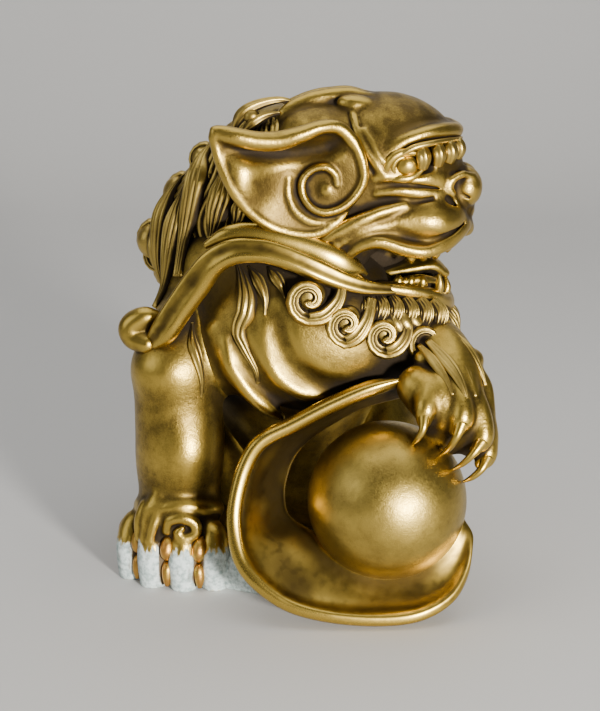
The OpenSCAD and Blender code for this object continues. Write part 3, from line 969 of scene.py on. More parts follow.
@dataclass
class RaisedPaw:
    """The raised foreleg, its paw on the ball and the long claws."""
    anatomy: Anatomy
    step: float = 0.38

    @staticmethod
    def arm() -> Form:
        """Upper arm, wrist and the four gripping toes."""
        arm = Tube([[20, -4, 62, 9], [27, -10, 59, 8.5], [32, -16.5, 57, 7.4], [34.4, -22, 53, 7.1],
                    [35.2, -25.6, 47.6, 6.3], [36.6, -27.0, 42.5, 4.8]])
        fingers = [Tube([[31.0, -24.5, 53.6, 2.6], [28.6, -29.6, 51.2, 2.6], [27.9, -32.0, 48.4, 2.6],
                         [27.6, -32.2, 45.8, 1.7]]),
                   Tube([[34.6, -26.4, 53.8, 2.4], [35.8, -30.8, 50.4, 2.3], [35.9, -32.8, 46.6, 2.7],
                         [34.8, -32.9, 44.0, 1.6]]),
                   Tube([[38.2, -25.4, 51.8, 2.4], [40.6, -29.0, 47.0, 2.2], [40.8, -31.0, 41.8, 2.7],
                         [39.4, -31.6, 39.4, 1.5]]),
                   Tube([[40.4, -21.5, 51.0, 2.6], [42.2, -24.6, 45.0, 2.3], [42.2, -28.6, 37.2, 2.6],
                         [40.9, -29.6, 34.9, 1.5]])]
        palm = Join(Tube([[27.0, -25.0, 51.6, 5.2], [31.0, -26.4, 49.2, 6.6], [36.0, -26.6, 45.2, 6.6],
                          [39.6, -25.8, 40.4, 5.2]]),
                    Blob((34.0, -26.8, 41.6), (6.4, 4.8, 5.4)), soft=1.0)
        sinews = [Tube([[30.6, -25.8, 57.0, 0.6], [31.6, -29.0, 54.0, 1.1], [31.8, -30.4, 50.6, 0.9],
                        [32.0, -30.6, 47.6, 0.5]]),
                  Tube([[37.2, -25.4, 55.6, 0.6], [38.4, -28.2, 52.6, 1.1], [38.6, -29.6, 48.6, 0.9],
                        [38.2, -30.0, 45.0, 0.5]]),
                  Tube([[41.0, -19.6, 54.8, 0.8], [42.8, -22.0, 50.4, 1.3], [43.2, -24.0, 45.4, 1.0]]),
                  Blob((28.4, -22.0, 57.6), (2.6, 2.6, 2.2)), Blob((39.6, -20.4, 56.6), (2.4, 2.6, 2.6))]
        return Join(arm, palm, Join(*fingers, soft=0.4), *sinews, soft=1.2)

    def claws(self) -> Shell:
        """Long thin claws that hook from the knuckles onto the ball."""
        claws = ([[27.6, -33.4, 47.2, 1.5, 1.4], [27.2, -34.9, 44.8, 0.95, 0.95],
                  [26.2, -34.8, 42.6, 0.7, 0.7], [25.0, -33.8, 40.8, 0.25, 0.25]],
                 [[35.8, -34.2, 46.0, 1.6, 1.5], [34.5, -35.5, 43.0, 0.95, 0.95],
                  [32.9, -34.2, 39.8, 0.7, 0.7], [31.2, -32.2, 37.6, 0.25, 0.25]],
                 [[40.6, -32.6, 41.2, 1.6, 1.5], [38.5, -34.3, 38.8, 0.95, 0.95],
                  [36.4, -33.9, 36.4, 0.7, 0.7], [34.2, -32.6, 34.4, 0.25, 0.25]],
                 [[42.2, -30.2, 36.6, 1.6, 1.5], [40.8, -31.9, 34.4, 0.95, 0.95],
                  [38.8, -31.9, 32.4, 0.7, 0.7], [36.8, -31.0, 31.0, 0.25, 0.25]])
        return together(carry(curve(rows, 6), plain_round, np.array([0, -1, 0.3])) for rows in claws)

    def build(self, figure: Figure) -> None:
        """Casts the arm and its claws."""
        a = self.anatomy
        figure.add("left_foreleg", cast(Portion(a.melted, a.reach, sunk=0.04), self.step), BODY, "body_brass",
                   "left_front_leg")
        figure.add("left_foreleg_claws", self.claws(), BRIGHT_CLAW, "claw_brass", "left_front_claws")


@dataclass
class Haunch:
    """The two folded hind legs with their feet and claws."""
    anatomy: Anatomy
    step: float = 0.6

    @staticmethod
    def thigh(side: int) -> Form:
        """Thigh, shin and the three toes of a hind foot."""
        foot = Tube([[side * 20.5, 27, 8, 8.2], [side * 22, 18, 7, 7.2], [side * 22.5, 11.5, 5.8, 6.6]])
        toes = Join(*[Tube([[side * 22.5 + (k - 1) * 4.6, 14, 7, 2.6],
                            [side * 22.5 + (k - 1) * 5.0, 8.6, 5.6, 2.9],
                            [side * 22.5 + (k - 1) * 5.2, 7.2, 2.6, 2.7]]) for k in range(3)], soft=0.7)
        return Join(Blob((side * 19, 20, 22), (13.2, 16.2, 22.0)), foot, toes, soft=2.4)

    def claws(self) -> Shell:
        """Six small claws."""
        made = []
        for side in (-1, 1):
            for k in range(3):
                x = side * 22.5 + (k - 1) * 5.2
                rows = [[x, 7.2, 4.4, 1.3, 1.2], [x, 4.9, 3.5, 1.2, 1.1], [x, 3.9, 1.7, 0.4, 0.4]]
                made.append(carry(curve(rows, 5), plain_round, np.array([0, -0.4, 1])))
        return together(made)

    def build(self, figure: Figure) -> None:
        """Casts both haunches and the claws."""
        for form, name in zip(self.anatomy.seat, ("right_haunch", "left_haunch")):
            figure.add(name + "_skin", cast(Portion(self.anatomy.melted, form, sunk=0.04), self.step), BODY,
                       "body_brass",
                       name)
        figure.add("hind_foot_claws", self.claws(), BRIGHT_CLAW, "claw_brass", "hind_claws")


# ---------- ball and ribbons ----------

@dataclass
class Ball:
    """The brushed ball under the raised paw, sized from the frame."""
    rings: int = 180

    def build(self, figure: Figure) -> None:
        """A sphere of latitude and longitude, with a very slight cast waviness."""
        low, high = (np.array(corner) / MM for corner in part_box("ball"))
        centre, radius = (low + high) / 2, (high - low)[0] / 2
        polar, around = np.meshgrid(np.linspace(0, math.pi, self.rings + 1)[1:-1],
                                    np.linspace(0, 2 * math.pi, self.rings * 2, endpoint=False),
                                    indexing="ij")
        ray = np.stack([np.sin(polar) * np.cos(around), -np.sin(polar) * np.sin(around), np.cos(polar)], -1)
        x, y, z = np.moveaxis(ray, -1, 0)
        wave = 0.05 * np.sin(3.1 * x * 2 + 4 * y) * np.sin(5 * z + 2 * x)
        rings = centre + ray * (radius + wave - 0.05)[..., None]
        figure.add("brushed_ball", loft(rings, centre + [0, 0, radius], centre - [0, 0, radius]), BALL,
                   "ball_brass",
                   "ball")


@dataclass
class BallRibbon:
    """The wide ribbon that loops round the ball: a thick double rim in front and a hollow face running
    back."""
    steps: int = 9
    # Near edge then far edge of each cross-section, from the raised paw round to the ball's right side.
    rows: tuple = (
        (25, -24, 53, 25.6, -16, 47), (16, -26, 51.6, 16.3, -15, 44.6), (7, -27, 48, 9.4, -14, 41),
        (-2, -28, 43.5, 2.3, -14, 36), (-9, -29, 40, -1, -15, 32.5), (-12.6, -30, 34.6, -3, -16.5, 28.5),
        (-14.8, -32, 27, -4, -18.5, 23), (-15.1, -34, 20.5, -2.6, -21.4, 18.8),
        (-13.5, -36.4, 14, 3.0, -25.6, 16.4),
        (-9.4, -39, 9.3, 5.4, -29.6, 14.4), (-2.2, -41, 5, 8.6, -32.2, 12.4),
        (7, -42, 2.9, 13.4, -34.3, 10.3),
        (18, -42, 2.2, 19.4, -34.9, 9.2), (27, -41, 3.0, 26.5, -34.6, 10.4), (34, -38, 6, 31.7, -33.5, 13.4),
        (37.6, -34, 11, 35.0, -32.0, 17.0), (38.2, -31, 16, 36.6, -30.4, 20.0),
        (37.6, -28.4, 19.6, 37.0, -28.4, 21.6))

    def profile(self, width: Array, foot: Array) -> tuple[Array, Array]:
        """Cross-section as distance from the near edge and height above the band's middle, in millimetres.

        The front is a round bead, a narrow groove and a second bead, which is stronger along the foot of
        the loop; behind them the band thins and dips. The back is plainly round.
        """
        s = np.linspace(0, 1, 34)
        reach = s[None, :] * width[:, None]
        bead = (1.9 * np.exp(-((reach - 1.6) / 1.15) ** 2)
                + (1.0 + 1.6 * foot[:, None]) * np.exp(-((reach - 4.9) / 1.2) ** 2))
        hollow = 0.75 + 0.35 * smooth_step(0.6, 1.0, s)[None, :]
        nose = np.sqrt(np.clip(1 - (np.clip((1.7 - reach) / 1.9, 0, 1)) ** 2, 0.0, 1))
        top = (hollow + bead * 0.62) * nose
        end = np.sqrt(np.clip(1 - smooth_step(0.93, 1.0, s)[None, :] ** 2, 0.03, 1))
        under = -(0.75 + 1.1 * np.exp(-((reach - 1.9) / 1.9) ** 2)) * nose
        return (np.concatenate([reach, reach[:, ::-1]], 1),
                np.concatenate([top * end, (under * end)[:, ::-1]], 1))

    def build(self, figure: Figure) -> None:
        """Sweeps the profile from edge to edge along the loop, and arches it a little along the foot."""
        line = curve(self.rows, self.steps)
        near, far = line[:, :3], line[:, 3:6]
        width = np.linalg.norm(far - near, axis=1)
        across, along = unit(far - near), unit(np.gradient(near, axis=0))
        up = unit(np.cross(across, along))
        foot = 1 - smooth_step(6, 18, near[:, 2])
        reach, height = self.profile(width + 2.0, foot)
        share = np.linspace(0, 1, len(line))
        fade = smooth_step(0, 0.06, share) * (1 - smooth_step(0.95, 1, share))
        arch = np.sin(math.pi * np.clip(reach / (width + 2.0)[:, None], 0, 1))
        height = height + 0.7 * (1 - smooth_step(5, 15, near[:, 2]))[:, None] * arch
        lift = height * (0.35 + 0.65 * fade[:, None])
        rings = near[:, None] + across[:, None] * (reach - 1.4)[..., None] + up[:, None] * lift[..., None]
        figure.add("ball_ribbon_band", loft(rings[:, ::-1]), RIBBON, "ribbon_brass", "ball_ribbon")


@dataclass
class ShoulderRibbon:
    """The ribbon that crosses from the jaw over the shoulder, with its trailing lobe."""
    rows: tuple = ((24, -16.0, 72.0, 1.0, 0.7), (19, -18.2, 72.6, 1.4, 0.9), (14.7, -19.8, 73.4, 1.8, 1.2),
                   (10.4, -21, 74.8, 2.1, 1.4),
                   (6.2, -21.8, 76.6, 2.4, 1.6), (2.6, -22.2, 78.3, 2.5, 1.7), (-1.1, -22.2, 80.0, 2.5, 1.7),
                   (-5, -22, 81.4, 2.6, 1.7), (-9, -21.6, 82.2, 2.7, 1.8), (-14.9, -20.8, 81.8, 2.9, 1.9),
                   (-19.7, -19.6, 79.0, 3.1, 2.0), (-23.5, -18.2, 73.9, 3.4, 2.1),
                   (-27.8, -17.2, 67.8, 3.3, 2.1), (-31, -16.4, 62.8, 3.2, 2.2),
                   (-33.4, -14.8, 59.8, 2.5, 1.6),
                   (-35.2, -13.0, 58.2, 1.5, 0.9), (-36.6, -11.6, 57.2, 0.5, 0.3))

    @staticmethod
    def outline(angle: Array, share: Array) -> tuple[Array, Array]:
        """A flat band with a raised bead along its upper edge and a lower one along the other."""
        across, up = np.cos(angle), np.sin(angle)
        bead, dip = np.exp(-((across + 0.5) / 0.5) ** 2), np.exp(-((across - 0.35) / 0.35) ** 2)
        face = 0.66 + 0.34 * bead - 0.10 * dip
        return across, np.where(up > 0, np.abs(up) ** 0.8 * face, 0.75 * up)

    def build(self, figure: Figure) -> None:
        """Carries the outline along both paths."""
        band = carry(curve(self.rows, 8), self.outline, np.array([-0.05, -1, 0.12]), 36)
        lobe = cast(Carved(Join(Tube([[-32.6, -12.0, 64.4, 1.4], [-36.2, -11.8, 64.6, 2.5],
                                      [-39.4, -11.4, 62.2, 2.8],
                                      [-38.8, -12.0, 59.6, 2.6], [-35.6, -13.2, 58.6, 2.4]]),
                                Blob((-37.0, -10.8, 61.6), (4.6, 2.6, 4.2)), soft=1.6),
                           Tube([[-31.0, -14.6, 66.4, 0.5], [-32.6, -14.6, 64.4, 0.6],
                                 [-34.4, -14.6, 62.6, 0.4]]),
                           soft=0.8), 0.35)
        jowl = carry(curve([[-21.6, -15.6, 82.2, 0.8, 0.8], [-16.9, -16.4, 84.4, 2.2, 1.6],
                            [-11.9, -16.6, 85.0, 2.8, 2.0],
                            [-5.4, -16.8, 83.8, 3.2, 2.2], [1.2, -16.8, 81.8, 3.4, 2.2],
                            [6.7, -16.6, 79.4, 3.6, 2.2],
                            [11, -15.6, 76.8, 3.4, 2.0], [15, -13.6, 74.4, 1.2, 0.7]], 8), plain_round,
                     np.array([0, -1, 0.1]), 28)
        figure.add("shoulder_ribbon_band", band + lobe + jowl, RIBBON, "ribbon_brass", "shoulder_ribbon")


# ---------- head ----------

@dataclass
class Head:
    """Skull with its brow, muzzle, nose and lips, the eyes and the curls over them."""
    step: float = 0.34

    def skull(self) -> Form:
        """The near half of the head, reflected to the far side."""
        mass = Join(Blob((19, -2, 100), (18.6, 14.6, 15.7)), Blob((27, -2, 93), (11.2, 12.4, 9)),
                    Blob((12, -2, 90), (13, 13, 11)), Blob((9, -2, 80), (9, 14, 8)),
                    Blob((3.6, -2, 103.6), (11.5, 12.6, 10.0)), soft=4)
        brow = Tube([[20.4, -14.4, 103.4, 0.6], [23.0, -15.0, 105.6, 1.0], [27.4, -14.0, 107.2, 1.3],
                     [31.6, -11.4, 107.7, 1.5], [34.6, -7.9, 107.6, 1.5], [36.0, -5, 107.3, 1.4],
                     [36.4, -2, 107.2, 1.3]])
        muzzle = Join(Blob((28.6, -10.8, 87.6), (7.6, 6.8, 5.4), (0, 8, 0)),
                      Blob((21.5, -11.4, 87.6), (8.0, 5.8, 4.6)),
                      Blob((33.8, -6.8, 88.0), (4.8, 5.8, 4.8)), soft=3)
        lip = Tube([[10.4, -15.6, 78.8, 0.7], [11.9, -16.4, 81.0, 1.3], [14.4, -17.0, 82.8, 1.6],
                    [18.2, -17.2, 83.4, 1.7],
                    [23.4, -17.0, 81.8, 1.7], [28.2, -16.2, 81.0, 1.8], [32.6, -13.6, 82.0, 1.8],
                    [35.8, -10.2, 83.8, 1.8], [38.0, -6.4, 85.4, 1.7], [38.8, -2, 85.6, 1.6]])
        face = Join(mass, brow, muzzle, lip, soft=2.6)
        socket = [Blob((28.0, -16.2, 101.2), (8.2, 3.4, 3.7), (0, -6, -28)),
                  Tube([[20.6, -15.8, 100.2, 0.3], [22.6, -16.6, 103.4, 0.5], [26.6, -15.8, 104.9, 0.6],
                        [31.4, -13.2, 105.4, 0.6], [35.6, -8.8, 105.1, 0.6], [37.4, -5.0, 104.9, 0.5]])]
        creases = [Tube([[17.6, -16.6, 95.8, 0.2], [21.0, -16.6, 96.2, 0.4], [25.5, -15.8, 96.0, 0.5],
                         [30.4, -13.4, 95.0, 0.6], [33.4, -10.6, 94.2, 0.7]]),
                   Tube([[15.0, -16.6, 92.0, 0.2], [19.6, -16.7, 92.6, 0.4], [24.6, -16.6, 92.5, 0.5],
                         [29.8, -14.4, 93.0, 0.5]]),
                   Tube([[33.6, -12.4, 92.4, 0.7], [35.4, -10.4, 90.0, 0.7], [37.0, -8.0, 88.6, 0.6],
                         [38.8, -4.4, 87.4, 0.5]]),
                   Tube([[9.6, -17.2, 82.2, 0.3], [12.4, -17.8, 84.8, 0.5], [17.4, -18.4, 86.0, 0.6],
                         [22.8, -18.4, 84.4, 0.6],
                         [28.2, -17.8, 83.4, 0.6], [33.4, -14.6, 84.6, 0.6], [37.0, -10.0, 86.4, 0.6]])]
        carved = Carved(face, *socket, *creases, soft=1.0)
        temple = [self.laid(carved, [[11.8, -9.4, 112.0], [12.4, -12.2, 109.6], [13.4, -13.6, 106.6],
                                     [15.0, -14.6, 103.6], [17.0, -15.2, 101.0], [18.9, -15.6, 98.2]], 0.32),
                  self.laid(carved, [[14.6, -13.0, 107.6], [16.4, -14.2, 104.8], [18.0, -14.8, 102.0],
                                     [19.0, -15.2, 100.0]], 0.22)]
        seams = [self.laid(carved, [[12.8, -9.4, 112.2], [13.5, -12.2, 109.2], [14.6, -13.6, 106.2],
                                    [16.4, -14.6, 103.0], [18.2, -15.2, 100.6]], 0.35),
                 self.laid(carved, [[10.8, -9.4, 111.6], [11.3, -12.2, 109.2], [12.2, -13.6, 106.2],
                                    [13.7, -14.6, 103.0], [15.6, -15.2, 100.2], [17.4, -15.6, 97.6]], 0.4)]
        carved = Carved(carved, *seams, soft=0.5)
        ridges = [*temple, Tube([[17.2, -15.7, 97.8, 0.4], [20.0, -15.9, 98.1, 0.6],
                                 [23.6, -15.5, 97.6, 0.5]]),
                  Tube([[17.6, -15.6, 94.2, 0.4], [21.4, -15.9, 94.6, 0.7], [25.0, -15.3, 94.4, 0.8],
                        [29.6, -13.3, 93.8, 0.8], [32.0, -11.6, 93.4, 0.5]]),
                  Tube([[25.4, -15.0, 97.2, 0.6], [28.4, -13.9, 97.4, 1.0], [31.6, -12.0, 96.8, 1.0],
                        [34.0, -9.8, 96, 0.7]]),
                  Tube([[23.4, -15.6, 91.4, 0.6], [19.4, -16.4, 90.4, 1.2], [15.0, -16.8, 88.8, 1.6],
                        [11.2, -16.6, 87.0, 1.7], [7.4, -16.2, 84.8, 1.5], [4.0, -15.6, 82.6, 0.9]]),
                  Tube([[20.4, -16.2, 87.2, 0.6], [15.6, -16.8, 86.2, 1.3], [12.2, -16.6, 84.8, 1.4],
                        [8.4, -16.2, 82.6, 1.2]])]
        nose = Join(Blob((38.2, -5.6, 94.2), (4.0, 5.0, 4.8)), Blob((38.6, -2, 93.0), (3.4, 5.0, 3.8)),
                    Tube([[39.6, -8.8, 97.0, 0.5], [37.2, -10.5, 97.8, 0.8], [34.8, -11.6, 96.8, 0.9],
                          [34.0, -12.0, 95.0, 0.8], [34.8, -11.8, 93.6, 0.6]]),
                    Blob((38.8, -3.4, 88.6), (2.0, 3.2, 2.2)), Blob((38.6, -3.2, 84.2), (2.2, 3.0, 2.0)),
                    soft=1.2)
        nostril = Tube([[36.0, -11.2, 96.4, 0.3], [35.8, -11.4, 94.8, 0.55], [37.0, -10.8, 93.2, 0.5],
                        [38.6, -9.8, 92.4, 0.3]])
        rim = Tube([[-5.4, -5.6, 107.6, 1.0], [-3.6, -5.2, 111.0, 1.5], [-0.6, -4.6, 112.6, 1.9],
                    [3.4, -4.2, 113.9, 2.1],
                    [7.6, -4.0, 114.6, 2.1], [11.6, -4.0, 114.8, 2.0], [15.0, -4.2, 114.2, 1.5],
                    [17.4, -4.4, 113.4, 0.9]])
        crest = Join(rim, Blob((12.8, -7.4, 113.2), (4.4, 2.7, 2.2), (0, 8, 0)), soft=1.0)
        fore = Join(carved, *ridges, soft=1.6)
        whole = Carved(Join(fore, nose, soft=1.2), nostril, soft=0.5)
        mouth = Blob((27.5, -2, 76.4), (14.8, 17.5, 5.6), (0, -5, 0))
        throat = Blob((16.0, -2, 77.5), (9.0, 5.0, 6))
        return TwoSided(Join(Carved(whole, mouth, soft=0.8), crest, throat, soft=1.2))

    @staticmethod
    def laid(form: Form, rows: Sequence[Row], radius: float) -> Tube:
        """A line laid on a form's skin, thinner at both ends."""
        path = form.settle(rows)
        thin = np.sin(np.linspace(0.3, math.pi - 0.3, len(path))) * radius
        return Tube(np.column_stack([path, thin]))

    @staticmethod
    def grain(at: Array) -> Array:
        """Very slight unevenness of the cast skin, as a sum of crossed waves."""
        x, y, z = at.T
        return 0.03 * np.sin(1.1 * x + 0.7 * z) * np.sin(0.9 * z - 0.8 * y)

    def curls(self) -> Shell:
        """Brow curls over the eye: a rolled band and three upright knobs, each split by grooves."""
        made = []
        knobs = [([[26.0, -14.4, 103.8], [27.0, -15.8, 103.9], [27.6, -16.2, 102.1], [27.4, -15.6, 99.8]],
                  1.8),
                 ([[29.6, -12.9, 104.2], [30.6, -14.2, 104.3], [31.2, -14.5, 102.5], [30.9, -13.9, 100.3]],
                  1.75),
                 ([[32.4, -10.7, 104.5], [33.5, -11.9, 104.6], [34.1, -12.1, 102.8], [33.7, -11.6, 100.7]],
                  1.7),
                 ([[34.6, -7.6, 104.6], [35.8, -8.5, 104.8], [36.3, -8.7, 103.1], [35.8, -8.4, 101.2]], 1.6)]
        for rows, width in knobs:
            path = tapered(curve(rows, 6), width, 1.7, start=0.55, end=0.7, belly=0.6)
            made.append(carry(path, strands(2, 0.35), unit(np.array([0.45, -1, 0.0])), 26))
        band = tapered(curve([[21.0, -15.9, 99.6], [22.2, -16.8, 102.6], [25.0, -16.9, 104.4],
                              [28.6, -15.9, 105.3],
                              [32.4, -13.2, 105.7], [35.4, -9.6, 105.7], [37.0, -5.6, 105.5]], 7), 0.75,
                       0.8, 0.5, 0.5)
        near = together([*made, carry(band, plain_round, unit(np.array([0.4, -1, 0.1])), 16)])
        return near + near.mirrored()

    def eyes(self) -> Shell:
        """Each eyeball with its heavy lids and inner fold."""
        ball = cast(Blob((23.8, -14.7, 100.5), (2.9, 2.7, 2.8)), 0.25)
        lids = ([[19.6, -15.2, 97.9, 0.5, 0.5], [19.4, -16.0, 99.6, 1.0, 0.9], [20.2, -16.6, 101.8, 1.1, 1.0],
                 [22.2, -16.7, 103.2, 1.0, 0.9], [25.0, -16.2, 103.4, 0.8, 0.7],
                 [27.4, -15.4, 102.6, 0.5, 0.5]],
                [[20.4, -15.9, 97.4, 0.6, 0.5], [22.2, -16.4, 97.5, 0.9, 0.8], [24.6, -16.2, 97.7, 0.9, 0.8],
                 [26.6, -15.4, 98.8, 0.7, 0.6], [28.0, -14.8, 100.0, 0.4, 0.4]],
                [[21.3, -16.2, 98.6, 0.4, 0.4], [20.8, -16.7, 100.2, 0.6, 0.5],
                 [21.6, -16.9, 101.8, 0.6, 0.5], [23.2, -16.8, 102.5, 0.4, 0.4]])
        near = ball + together(carry(curve(rows, 6), plain_round, np.array([0.3, -1, 0]),
                                     18) for rows in lids)
        return near + near.mirrored()

    def build(self, figure: Figure) -> None:
        """Casts the skull and adds the eyes and brow curls."""
        figure.add("face_and_skull", cast(self.skull(), self.step, self.grain), CAST, "body_brass", "skull")
        figure.add("eyes_with_lids", self.eyes(), FACE, "face_brass", "eyeballs")
        figure.add("brow_curl_row", self.curls(), HAIR, "hair_brass", "brow_curls")


@dataclass
class Mouth:
    """Lower jaw with its rolled lip, the tongue and the teeth."""
    step: float = 0.36

    def jaw(self) -> Form:
        """Lower lip, chin and the floor of the mouth, on the near side and reflected."""
        chin = Join(Blob((22, -2, 68.5), (13.5, 13.0, 5.4), (0, 4, 0)),
                    Blob((30.5, -2, 65.5), (5.6, 9.0, 5.6)),
                    soft=2.5)
        lip = Tube([[11.4, -14.0, 78.2, 0.9], [12.6, -15.4, 75.4, 1.2], [15.7, -16.4, 72.9, 1.4],
                    [20.4, -16.4, 72.4, 1.6],
                    [25.8, -15.2, 71.4, 1.7], [30.4, -12.4, 69.9, 1.8], [33.2, -8.6, 68.0, 1.8],
                    [34.6, -4.6, 66.6, 1.8], [34.8, -2, 66.4, 1.8]])
        trough = Blob((23, -2, 74.5), (11.5, 13.2, 4.2), (0, 5, 0))
        gums = Tube([[24.0, -12.4, 73.2, 1.0], [28.0, -10.6, 73.2, 1.3], [31.2, -7.4, 72.0, 1.3],
                     [32.4, -2, 71.4, 1.3]])
        return TwoSided(Join(Carved(chin, trough, soft=1.0), lip, gums, soft=1.2))

    def tongue(self) -> Form:
        """Curled tongue with a middle groove."""
        body = Tube([[14, -2, 72.6, 5.6, 2.0], [20, -2, 73.8, 5.8, 2.2], [26, -2, 74.8, 5.2, 2.1],
                     [30.6, -2, 75.2, 4.0, 1.9], [33.2, -2, 73.9, 2.6, 1.4]], face=(0, 0, 1))
        return Carved(body, Tube([[17, -2, 77.0, 0.5], [25, -2, 77.6, 0.9], [31.5, -2, 77.4, 0.6]]), soft=1.2)

    def teeth(self) -> Shell:
        """Fangs, cheek teeth and front teeth of both jaws, as tapered curved cones."""
        made = []
        cones = [([31.9, -11.2, 70.0], [32.3, -11.8, 72.4], [32.1, -11.8, 74.8], 1.15),
                 ([34.2, -9.6, 82.4], [34.3, -10.0, 80.8], [33.9, -9.8, 79.6], 1.0)]
        cones += [([25.2 + 2.9 * k, -12.4 + 0.8 * k, 80.6 + 0.3 * k],
                   [25.4 + 2.9 * k, -12.6 + 0.8 * k, 78.8 + 0.3 * k],
                   [25.4 + 2.9 * k, -12.4 + 0.8 * k, 77.6 + 0.35 * k], 1.5) for k in range(3)]
        cones += [([22.6 + 2.8 * k, -12.6 + 0.7 * k, 72.6 - 0.2 * k],
                   [22.7 + 2.8 * k, -12.8 + 0.7 * k, 73.8 - 0.2 * k],
                   [22.7 + 2.8 * k, -12.6 + 0.7 * k, 74.8 - 0.2 * k], 1.4) for k in range(3)]
        cones += [([36.8, -3.6 - 3 * k, 84.4], [36.9, -3.7 - 3 * k, 82.8], [36.4, -3.6 - 3 * k, 81.6],
                   1.3) for k in range(2)]
        cones += [([33.8, -3.4 - 2.8 * k, 68.6], [34.6, -3.5 - 2.8 * k, 70.6], [34.4, -3.4 - 2.8 * k, 72.6],
                   1.1) for k in range(2)]
        for root, middle, tip, size in cones:
            rows = [[*root, size, size], [*middle, size * 0.85, size * 0.85], [*tip, 0.3 * size, 0.3 * size]]
            made.append(carry(curve(rows, 6), plain_round, np.array([0.3, -1, 0]), 16))
        near = together(made)
        return near + near.mirrored()

    def build(self, figure: Figure) -> None:
        """Casts the jaw and tongue, and adds the teeth."""
        figure.add("lower_jaw_and_lip", cast(self.jaw(), self.step, Head.grain), CAST, "body_brass",
                   "lower_jaw")
        figure.add("tongue_curled", cast(self.tongue(), 0.4), FACE, "face_brass", "tongue")
        figure.add("teeth_rows", self.teeth(), FACE, "face_brass", "teeth")


class Plate(Form):
    """A dished plate: an outline in X and Z, a front whose depth depends on place, and a thickness."""

    def __init__(self, outline: Array, depth: Callable[[Array, Array], Array], thick: float) -> None:
        """Keeps the outline's points, the depth of the middle of the plate and half its thickness."""
        self.outline, self.depth, self.thick = outline, depth, thick
        y = depth(outline[:, 0], outline[:, 1])
        self.low = np.array([outline[:, 0].min(), y.min() - 5, outline[:, 1].min()])
        self.high = np.array([outline[:, 0].max(), y.max() + 5, outline[:, 1].max()])

    def edge(self, at: Array) -> Array:
        """Signed distance to the outline, negative inside: least distance to its sides, with an even-odd
        test."""
        x, z = at[:, 0], at[:, 2]
        best, inside = np.full(len(at), FAR), np.zeros(len(at), bool)
        for (ax, az), (bx, bz) in zip(self.outline, np.roll(self.outline, -1, axis=0)):
            length = (bx - ax) ** 2 + (bz - az) ** 2 + 1e-9
            t = np.clip(((x - ax) * (bx - ax) + (z - az) * (bz - az)) / length, 0, 1)
            best = np.minimum(best, (x - ax - t * (bx - ax)) ** 2 + (z - az - t * (bz - az)) ** 2)
            inside ^= ((az > z) != (bz > z)) & (x < ax + (z - az) * (bx - ax) / (bz - az + 1e-12))
        return np.where(inside, -1, 1) * np.sqrt(best)

    def distance(self, at: Array) -> Array:
        """Rounded meeting of the outline's wall and the two faces."""
        flank = (np.abs(at[:, 1] - self.depth(at[:, 0], at[:, 2])) - self.thick) * 0.85
        rim = self.edge(at)
        return -eased_min(-flank, -rim, 1.2)


